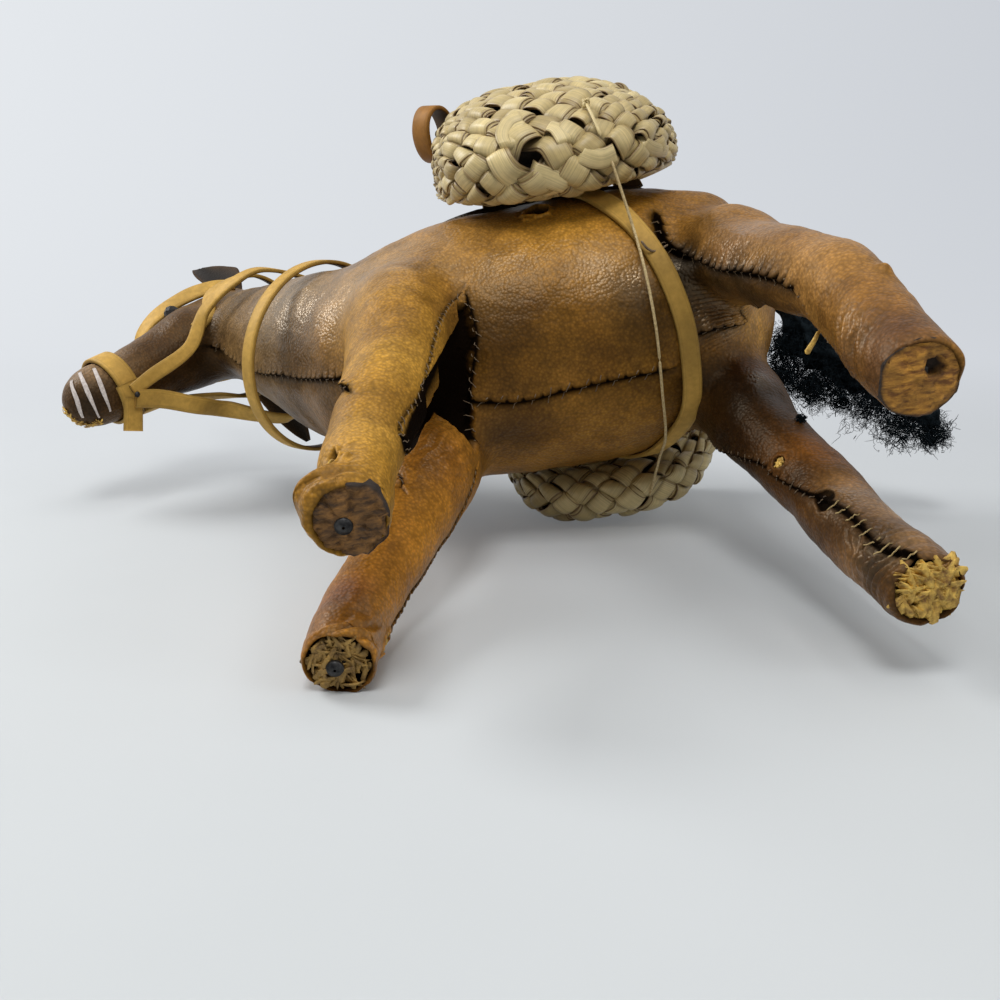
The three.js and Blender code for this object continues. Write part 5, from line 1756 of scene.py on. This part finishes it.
def knotted_thread(build, basket):
    """The palm thread that is knotted to the left basket's outer side."""

    def laid(line, half, sides, tone):
        points, faces = tube(line, half, sides)
        plain = np.zeros(len(points))
        build.add(points, faces, across=plain, along=plain, tone=plain + tone, under=plain, dip=plain)

    places = curve([basket.find(pixel) for pixel in KNOT_RUN], np.linspace(0, 1, 40))
    line = basket.point(places) + KNOT_STAND * basket.out(places)
    line = np.vstack([line, under_basket(basket, THREAD_START_Y)])
    laid(even(curve(line[::6], np.linspace(0, 1, 80)), 0.7), 0.4, 8, 0.9)
    for _ in range(KNOT_TURNS):
        spin = np.linspace(0, 2 * math.pi, 12)[:, None]
        first, second = unit(dice.normal(size=3)), unit(dice.normal(size=3))
        laid(line[0] + KNOT_RADIUS * (np.cos(spin) * first + np.sin(spin) * second), 0.3, 6, 0.8)


# Loose strips on the left basket: pixels along each, width and height off the wall
LOOSE_STRIPS = [
    ([(530, 170), (548, 178), (572, 187)], 5.0, 1.9),
    ([(508, 152), (505, 138), (512, 124), (530, 118)], 3.4, 2.4),
    ([(512, 152), (510, 138), (516, 127), (532, 121)], 3.0, 1.7),
    ([(545, 126), (556, 132), (566, 146)], 4.2, 2.0),
    ([(632, 181), (655, 183), (672, 178), (681, 168)], 4.0, 2.2),
    ([(640, 186), (658, 186), (676, 178)], 3.4, 1.2),
    ([(640, 140), (652, 150), (668, 152)], 4.6, 2.0),
    ([(576, 150), (600, 158), (618, 152)], 5.0, 1.9),
    ([(628, 172), (622, 180), (617, 190)], 2.2, 1.6),
    ([(630, 172), (627, 182), (625, 192)], 2.2, 1.7),
    ([(632, 172), (633, 182), (635, 190)], 2.2, 1.6),
]


def loose_strips(build, basket):
    shares = np.linspace(0, 1, 30)
    ends = smooth(0, 0.15, shares) * smooth(1, 0.85, shares)
    for pixel_run, width, height in LOOSE_STRIPS:
        places = curve([basket.find(pixel) for pixel in pixel_run], shares)
        tone = chance.uniform(0.7, 1)
        leaf(build, basket, places, lerp(-0.6, height, ends), width, tone, chance.uniform(-0.5, 0.5))


LEFT_HOLES = [((526, 140), 3.6), ((643, 137), 2.2), ((661, 160), 2.8)]
baskets = [
    Basket("left", 1, LEFT_BASKET_Y, LEFT_BASKET_WIDTH, LEFT_HOLES),
    Basket("right", -1, RIGHT_BASKET_Y, RIGHT_BASKET_WIDTH),
]
for basket in baskets:
    body = f"{basket.name}_pannier"
    woven = plait(basket)
    if basket.name == "left":
        knotted_thread(woven, basket)
        loose_strips(woven, basket)
    woven.piece(f"{basket.name}_basket_plait", PALM, body, "palm", [f"{basket.name}_basket"])
    shade_liner(basket).piece(f"{basket.name}_basket_inside", SHADE_LINER, body, "palm")


# Hooks of the baskets, and the loop on the left one

HOOK_CLEAR = SEAT_GAP + 0.3
HOOK_START = HOOK_CLEAR + 2 * STRAP
HOOK_STAND = 0.6
HOOK_DEPTH = 9
BASKET_WALL = 2.2


def frame_body(node):
    return frame["nodes"][node]["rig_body"]


def hook(basket, end, y):
    place, out = trunk.seat(y - CHEST_Y, BACK_STRAP_END_DEG, strap_stand + HOOK_STAND)
    u = (y - basket.middle) / (BASKET_LENGTH / 2)
    wall = abs(basket.point_ut(np.array(u), np.array(0.0))[0])
    inside = wall + BASKET_WALL + HOOK_CLEAR
    start = place + HOOK_START * np.array([out[2], 0, -out[0]])
    flip = np.array([basket.side, 1, 1])
    stations = [
        (start, (0.2, 0, 1)),
        (np.array([lerp(start[0], wall, 0.6), y, lerp(start[2], rim_z, 0.6)]), (-0.6, 0, 0.8)),
        (np.array([wall, y, rim_z + HOOK_CLEAR]), (-0.2, 0, 1)),
        (np.array([inside, y, rim_z + HOOK_CLEAR]), (0.7, 0, 0.7)),
        (np.array([inside, y, rim_z - HOOK_DEPTH / 2]), (1, 0, 0)),
        (np.array([inside, y, rim_z - HOOK_DEPTH]), (1, 0, 0)),
    ]
    stations = [(flip * place, flip * np.array(out)) for place, out in stations]
    node = f"{basket.name}_{end}_hook"
    strip_piece(node, *routed(stations, 60), BACK_STRAP_WIDTH, STRIP, frame_body(node), edge=0.05)


for basket in baskets:
    for end, y in strap_places.items():
        hook(basket, end, y)

LOOP_HALF_X = 6.5
LOOP_HALF_Y = 4
LOOP_TIP_DEG = 40
LOOP_WIDTH = 7
LOOP_SETBACK = 1
LOOP_SHARE = 0.6
BASKET_END_SHARE = 0.985
loop_y = LEFT_BASKET_Y - BASKET_END_SHARE * BASKET_LENGTH / 2 + LOOP_SETBACK
loop_x = basket_wall + LEFT_BASKET_WIDTH * LOOP_SHARE
loop_middle = np.array([loop_x, loop_y, rim_z + SEAT_GAP + LOOP_WIDTH / 2])
turns = np.linspace(0, 2 * math.pi, 90, endpoint=False)
outs = np.stack([np.cos(turns), np.sin(turns), 0 * turns], axis=1)
tip = math.radians(LOOP_TIP_DEG)
tipped = np.array([[1, 0, 0], [0, math.cos(tip), math.sin(tip)], [0, -math.sin(tip), math.cos(tip)]])
line = loop_middle + (outs * (LOOP_HALF_X, LOOP_HALF_Y, 0)) @ tipped
loop_body = frame_body("basket_loop")
strip_piece("basket_loop", line, outs @ tipped, LOOP_WIDTH, LOOP_STRIP, loop_body, closed=True, edge=0.12)


# Palm thread under the belly

FINE_THREAD = 0.75
over_girth = SEAT_GAP + STRAP + SEAT_GAP + THREAD / 2
thread_route = [
    under_basket(baskets[0], THREAD_START_Y),
    trunk.point(29 - CHEST_Y, 325, over_girth + 1),
    trunk.point(30 - CHEST_Y, 305, over_girth + 0.2),
    trunk.point(31 - CHEST_Y, 283, 1.2),
    trunk.point(31 - CHEST_Y, 257, 1.2),
    trunk.point(31 - CHEST_Y, 235, over_girth + 0.2),
    trunk.point(30 - CHEST_Y, 215, over_girth + 1),
    under_basket(baskets[1], 28),
]
thread_line = even(curve(thread_route, np.linspace(0, 1, 200)), 0.8)
halfway = len(thread_line) // 2
for basket, half in zip(baskets, (thread_line[:halfway + 1], thread_line[:halfway - 1:-1])):
    name = f"{basket.name}_belly_thread_palm"
    thread = tube_piece(name, half, FINE_THREAD / 2, 8, CREAM_THREAD, None, "palm", ["belly_thread"])
    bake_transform(thread)


# Loose ends

THREAD_END = [(668, 244), (660, 251), (651, 255), (643, 253), (638, 249)]
places = [seen(hide, *pixel) for pixel in THREAD_END]
line = curve([place + (0.3 + 0.75 * k) * out for k, (place, out) in enumerate(places)], np.linspace(0, 1, 30))
tube_piece("seam_thread_end", line, 0.3, 6, STITCH, "donkey", "strap")

STRAW_TAG = [(819, 331), (814, 341), (806, 354)]
root, _ = seen(hide, *STRAW_TAG[0])
reach = far(root, EYE)
line = curve([root] + [EYE + ray(*pixel) * (reach - 1.0) for pixel in STRAW_TAG[1:]], np.linspace(0, 1, 16))
tube_piece("seam_straw_end", line, np.linspace(0.35, 0.6, 16), 6, STRAW, "donkey", "straw", flat=0.3)

LUMP = (800, 421)  # pixel of a stray tuft of wool
LUMP_STRANDS = 60
place, out = seen(hide, *LUMP)
build = Build()
for _ in range(LUMP_STRANDS):
    t = np.linspace(0, 1, 10)[:, None]
    wave = np.sin(9 * t + chance.uniform(0, 6)) * unit(dice.normal(size=3))
    start = place + 0.6 * out + dice.normal(0, 0.35, 3)
    build.add(*tube(start + t * unit(dice.normal(size=3)) + 0.4 * wave, 0.1, 3))
build.piece("stray_wool", WOOL, "donkey", "wool")


# Tail: a wool tuft

# Clumps of the tuft's wool: pixel, radius and number of strands
CLUMPS = [
    ((798, 328), 5, 600), ((786, 345), 5, 760), ((784, 374), 7, 840), ((812, 388), 6, 760),
    ((812, 350), 8, 840), ((842, 375), 9, 920), ((872, 402), 8, 840), ((903, 424), 7, 760),
    ((932, 434), 5, 600), ((840, 400), 4, 240),
]
# Line of the tuft from its knot, and its half width along it
TUFT = [
    (0, -TAIL_ROOT_RADIUS, 0, TAIL_ROOT_RADIUS * 0.2),
    (0, -TAIL_ROOT_RADIUS / 2, 0, TAIL_ROOT_RADIUS * 0.87),
    (0, 0, 0, TAIL_ROOT_RADIUS),
    (-6, 7, -4, TAIL_ROOT_RADIUS + 1.6),
    (-16, 14, -11, TAIL_RADIUS * 1.15),
    (-28, 27, -18, TAIL_RADIUS * 0.85),
    (-38, 39, -25, TAIL_RADIUS * 0.6),
    (-41, 43, -27, 1.5),
]
CORE_SHARE = 0.55  # of the tuft's width, with how much it varies
CORE_VARY = 0.35
LONG_STRANDS = 0.04  # share of strands that stand out
STRAND_HALVES = (0.04, 0.08)
TAIL_FORWARD = 4  # of the knot, from the rump's end


def tail_pieces():
    root = trunk.point(RUMP_Y - CHEST_Y - TAIL_FORWARD, 97, TAIL_STAND)
    tuft = Limb([(root[0] + x, root[1] + y, root[2] + z, half) for x, y, z, half in TUFT])
    rings = tuft.rings(90, 40)
    middle = rings.mean(1, keepdims=True)
    uneven = np.array([[noise.noise(Vector(p / 3.5)) for p in ring] for ring in rings])
    build = Build()
    build.add(*loft(middle + (rings - middle) * (CORE_SHARE + CORE_VARY * uneven)[..., None]))
    build.piece("tail_wool_core", WOOL, "tail", "wool", ["tail_tuft"])
    strands = Build()
    axis = tuft.line(np.linspace(0.4, 1, 60))[:, :3]
    for pixel, radius, count in CLUMPS:
        sight = ray(*pixel)
        along = (axis - EYE) @ sight
        nearest = np.argmin(np.linalg.norm(axis - EYE - along[:, None] * sight, axis=1))
        middle = EYE + along[nearest] * sight
        for _ in range(count):
            start = middle + dice.normal(0, 0.42 * radius, 3)
            way, lean = unit(dice.normal(size=3)), unit(dice.normal(size=3))
            t = np.linspace(0, 1, 12)[:, None]
            curl = chance.uniform(6, 15)
            wave = np.sin(curl * t + chance.uniform(0, 6)) * lean
            wave = wave + np.cos(curl * t + chance.uniform(0, 6)) * way
            reach = radius * (1.1 if chance.random() < LONG_STRANDS else chance.uniform(0.2, 0.6))
            path = start + t * reach * way + chance.uniform(0.4, 0.9) * wave
            strands.add(*tube(path, chance.uniform(*STRAND_HALVES), 3))
    strands.piece("tail_wool_strands", WOOL, "tail", "wool")


tail_pieces()


# Stage: the floor that the figure lies on, seen from its upper side only, with soft light and the camera

def fixed(vector):
    return Vector(world(vector))


PLAIT_BULGE = 4.5
FOOT_CONTACT = np.array([-6.5, -2, 4])  # from the middle of the sole
BASKET_CONTACT = 14  # under the rim
contact_foot = soles["right_fore"] + FOOT_CONTACT
contact_x = -basket_wall - RIGHT_BASKET_WIDTH - PLAIT_BULGE
contact_basket = np.array([contact_x, RIGHT_BASKET_Y, rim_z - BASKET_CONTACT])
floor_up = unit(np.cross(RIGHT, contact_basket - contact_foot))
if floor_up[0] < 0:
    floor_up = -floor_up

PAPER = ((0.54, 0.565, 0.575), (0.6, 0.625, 0.64))
# The backdrop's glow, painted light: lighter on the left than on the right.
BACKDROP = ((0.86, 0.89, 0.92), (0.54, 0.565, 0.61))  # its tone on the left and on the right


def floor_finish():
    """Pale paper, seen from its upper side only; far behind, it glows, lighter on the left: painted light."""
    f = Finish("floor")
    f.set(Base_Color=f.mix(f.noise(9, 3), *PAPER), Roughness=0.75)
    glow = f.node("Emission", {"Color": f.mix(f.layer("side"), *BACKDROP)}).outputs[0]
    paths = f.node("LightPath").outputs
    seen_by = f.math("MAXIMUM", paths["Is Camera Ray"], paths["Is Glossy Ray"])
    share = f.math("MULTIPLY", f.math("MAXIMUM", seen_by, paths["Is Transmission Ray"]), f.layer("far"))
    plain = f.node("MixShader", {0: share, 1: f.shader.outputs[0], 2: glow}).outputs[0]
    clear = f.node("BsdfTransparent").outputs[0]
    backing = f.node("NewGeometry").outputs["Backfacing"]
    mix = f.node("MixShader", {0: backing, 1: plain, 2: clear}).outputs[0]
    output = next(n for n in f.tree.nodes if n.type == "OUTPUT_MATERIAL")
    f.tree.links.new(mix, output.inputs["Surface"])
    return f.material


FLOOR_HALF = 900
FLOOR_NEAR = 1200.0  # from the figure's foot toward the camera
FLOOR_BEND = 500.0  # from the foot back to where the floor turns up
FLOOR_ROUND = 500.0
BACKDROP_TOP = 1600.0
GLOW_START = -20
GLOW_FULL = 480


def floor_piece():
    depth = unit(np.cross(floor_up, RIGHT))
    away = depth if depth @ BACK < 0 else -depth
    profile = [(p, 0.0) for p in np.linspace(-FLOOR_NEAR, FLOOR_BEND, 30)]
    profile += [(FLOOR_BEND + FLOOR_ROUND * math.sin(a), FLOOR_ROUND * (1 - math.cos(a)))
                for a in np.linspace(0, math.pi / 2, 24)[1:]]
    profile += [(FLOOR_BEND + FLOOR_ROUND, q) for q in np.linspace(FLOOR_ROUND, BACKDROP_TOP, 12)[1:]]
    rows = [contact_foot + p * away + q * floor_up + s * FLOOR_HALF * RIGHT
            for p, q in profile for s in (-1, 1)]
    faces = grid_faces(len(profile), 2)
    first = np.cross(rows[1] - rows[0], rows[2] - rows[0])
    mesh = bpy.data.meshes.new("floor")
    mesh.from_pydata(world(rows).tolist(), [], (faces[:, ::-1] if first @ floor_up < 0 else faces).tolist())
    mesh.polygons.foreach_set("use_smooth", [True] * len(mesh.polygons))
    mesh.materials.append(floor_finish())
    add_layer(mesh, "far", np.repeat([float(smooth(GLOW_START, GLOW_FULL, p)) for p, _ in profile], 2))
    add_layer(mesh, "side", np.tile([0.0, 1.0], len(profile)))
    made = bpy.data.objects.new("floor", mesh)
    bpy.context.scene.collection.objects.link(made)


floor_piece()

FIGURE_MIDDLE = np.array([0, 10, 95.0])


def lamp(name, toward, distance, size, power):
    """A soft square lamp that shines at the middle of the figure from a direction."""
    data = bpy.data.lights.new(name, "AREA")
    data.shape = "SQUARE"
    data.size = size * MM
    data.energy = power
    made = bpy.data.objects.new(name, data)
    made.location = fixed(FIGURE_MIDDLE + distance * unit(toward))
    made.rotation_mode = "QUATERNION"
    made.rotation_quaternion = Vector(-unit(toward)).to_track_quat("-Z", "Y")
    bpy.context.scene.collection.objects.link(made)


lamp("key", 0.62 * floor_up - 0.76 * RIGHT - 0.2 * BACK, 700, 280, 3.0)
lamp("front", 0.74 * floor_up - 0.1 * RIGHT + 0.55 * BACK, 800, 260, 2.9)
lamp("top", 0.9 * floor_up + 0.1 * RIGHT + 0.1 * BACK, 800, 500, 1.6)
lamp("side", 0.4 * floor_up + 0.75 * RIGHT + 0.5 * BACK, 800, 300, 0.9)

backdrop = bpy.data.worlds.new("studio")
backdrop.use_nodes = True
sky = backdrop.node_tree
light = sky.nodes["Background"]
light.inputs["Color"].default_value = (1, 0.99, 0.97, 1)
light.inputs["Strength"].default_value = 0.2
pale = sky.nodes.new("ShaderNodeBackground")
pale.inputs["Color"].default_value = (0.52, 0.54, 0.56, 1)
paths = sky.nodes.new("ShaderNodeLightPath").outputs
share = paths["Is Camera Ray"]
for path in ("Is Glossy Ray", "Is Transmission Ray"):
    larger = sky.nodes.new("ShaderNodeMath")
    larger.operation = "MAXIMUM"
    sky.links.new(share, larger.inputs[0])
    sky.links.new(paths[path], larger.inputs[1])
    share = larger.outputs[0]
both = sky.nodes.new("ShaderNodeMixShader")
sky.links.new(share, both.inputs[0])
sky.links.new(light.outputs[0], both.inputs[1])
sky.links.new(pale.outputs[0], both.inputs[2])
sky.links.new(both.outputs[0], sky.nodes["World Output"].inputs["Surface"])
bpy.context.scene.world = backdrop
bpy.context.scene.view_settings.view_transform = "Standard"

SENSOR = 36  # millimetres across
camera = bpy.data.cameras.new("camera")
camera.sensor_width = SENSOR
camera.lens = SENSOR * FOCAL / PICTURE
camera.clip_start = 0.01
camera.clip_end = 20
eye = bpy.data.objects.new("camera", camera)
turned = Matrix([RIGHT, UP, BACK]).transposed().to_4x4()
eye.matrix_world = Matrix.Translation(fixed(EYE)) @ turned
bpy.context.scene.collection.objects.link(eye)
bpy.context.scene.camera = eye
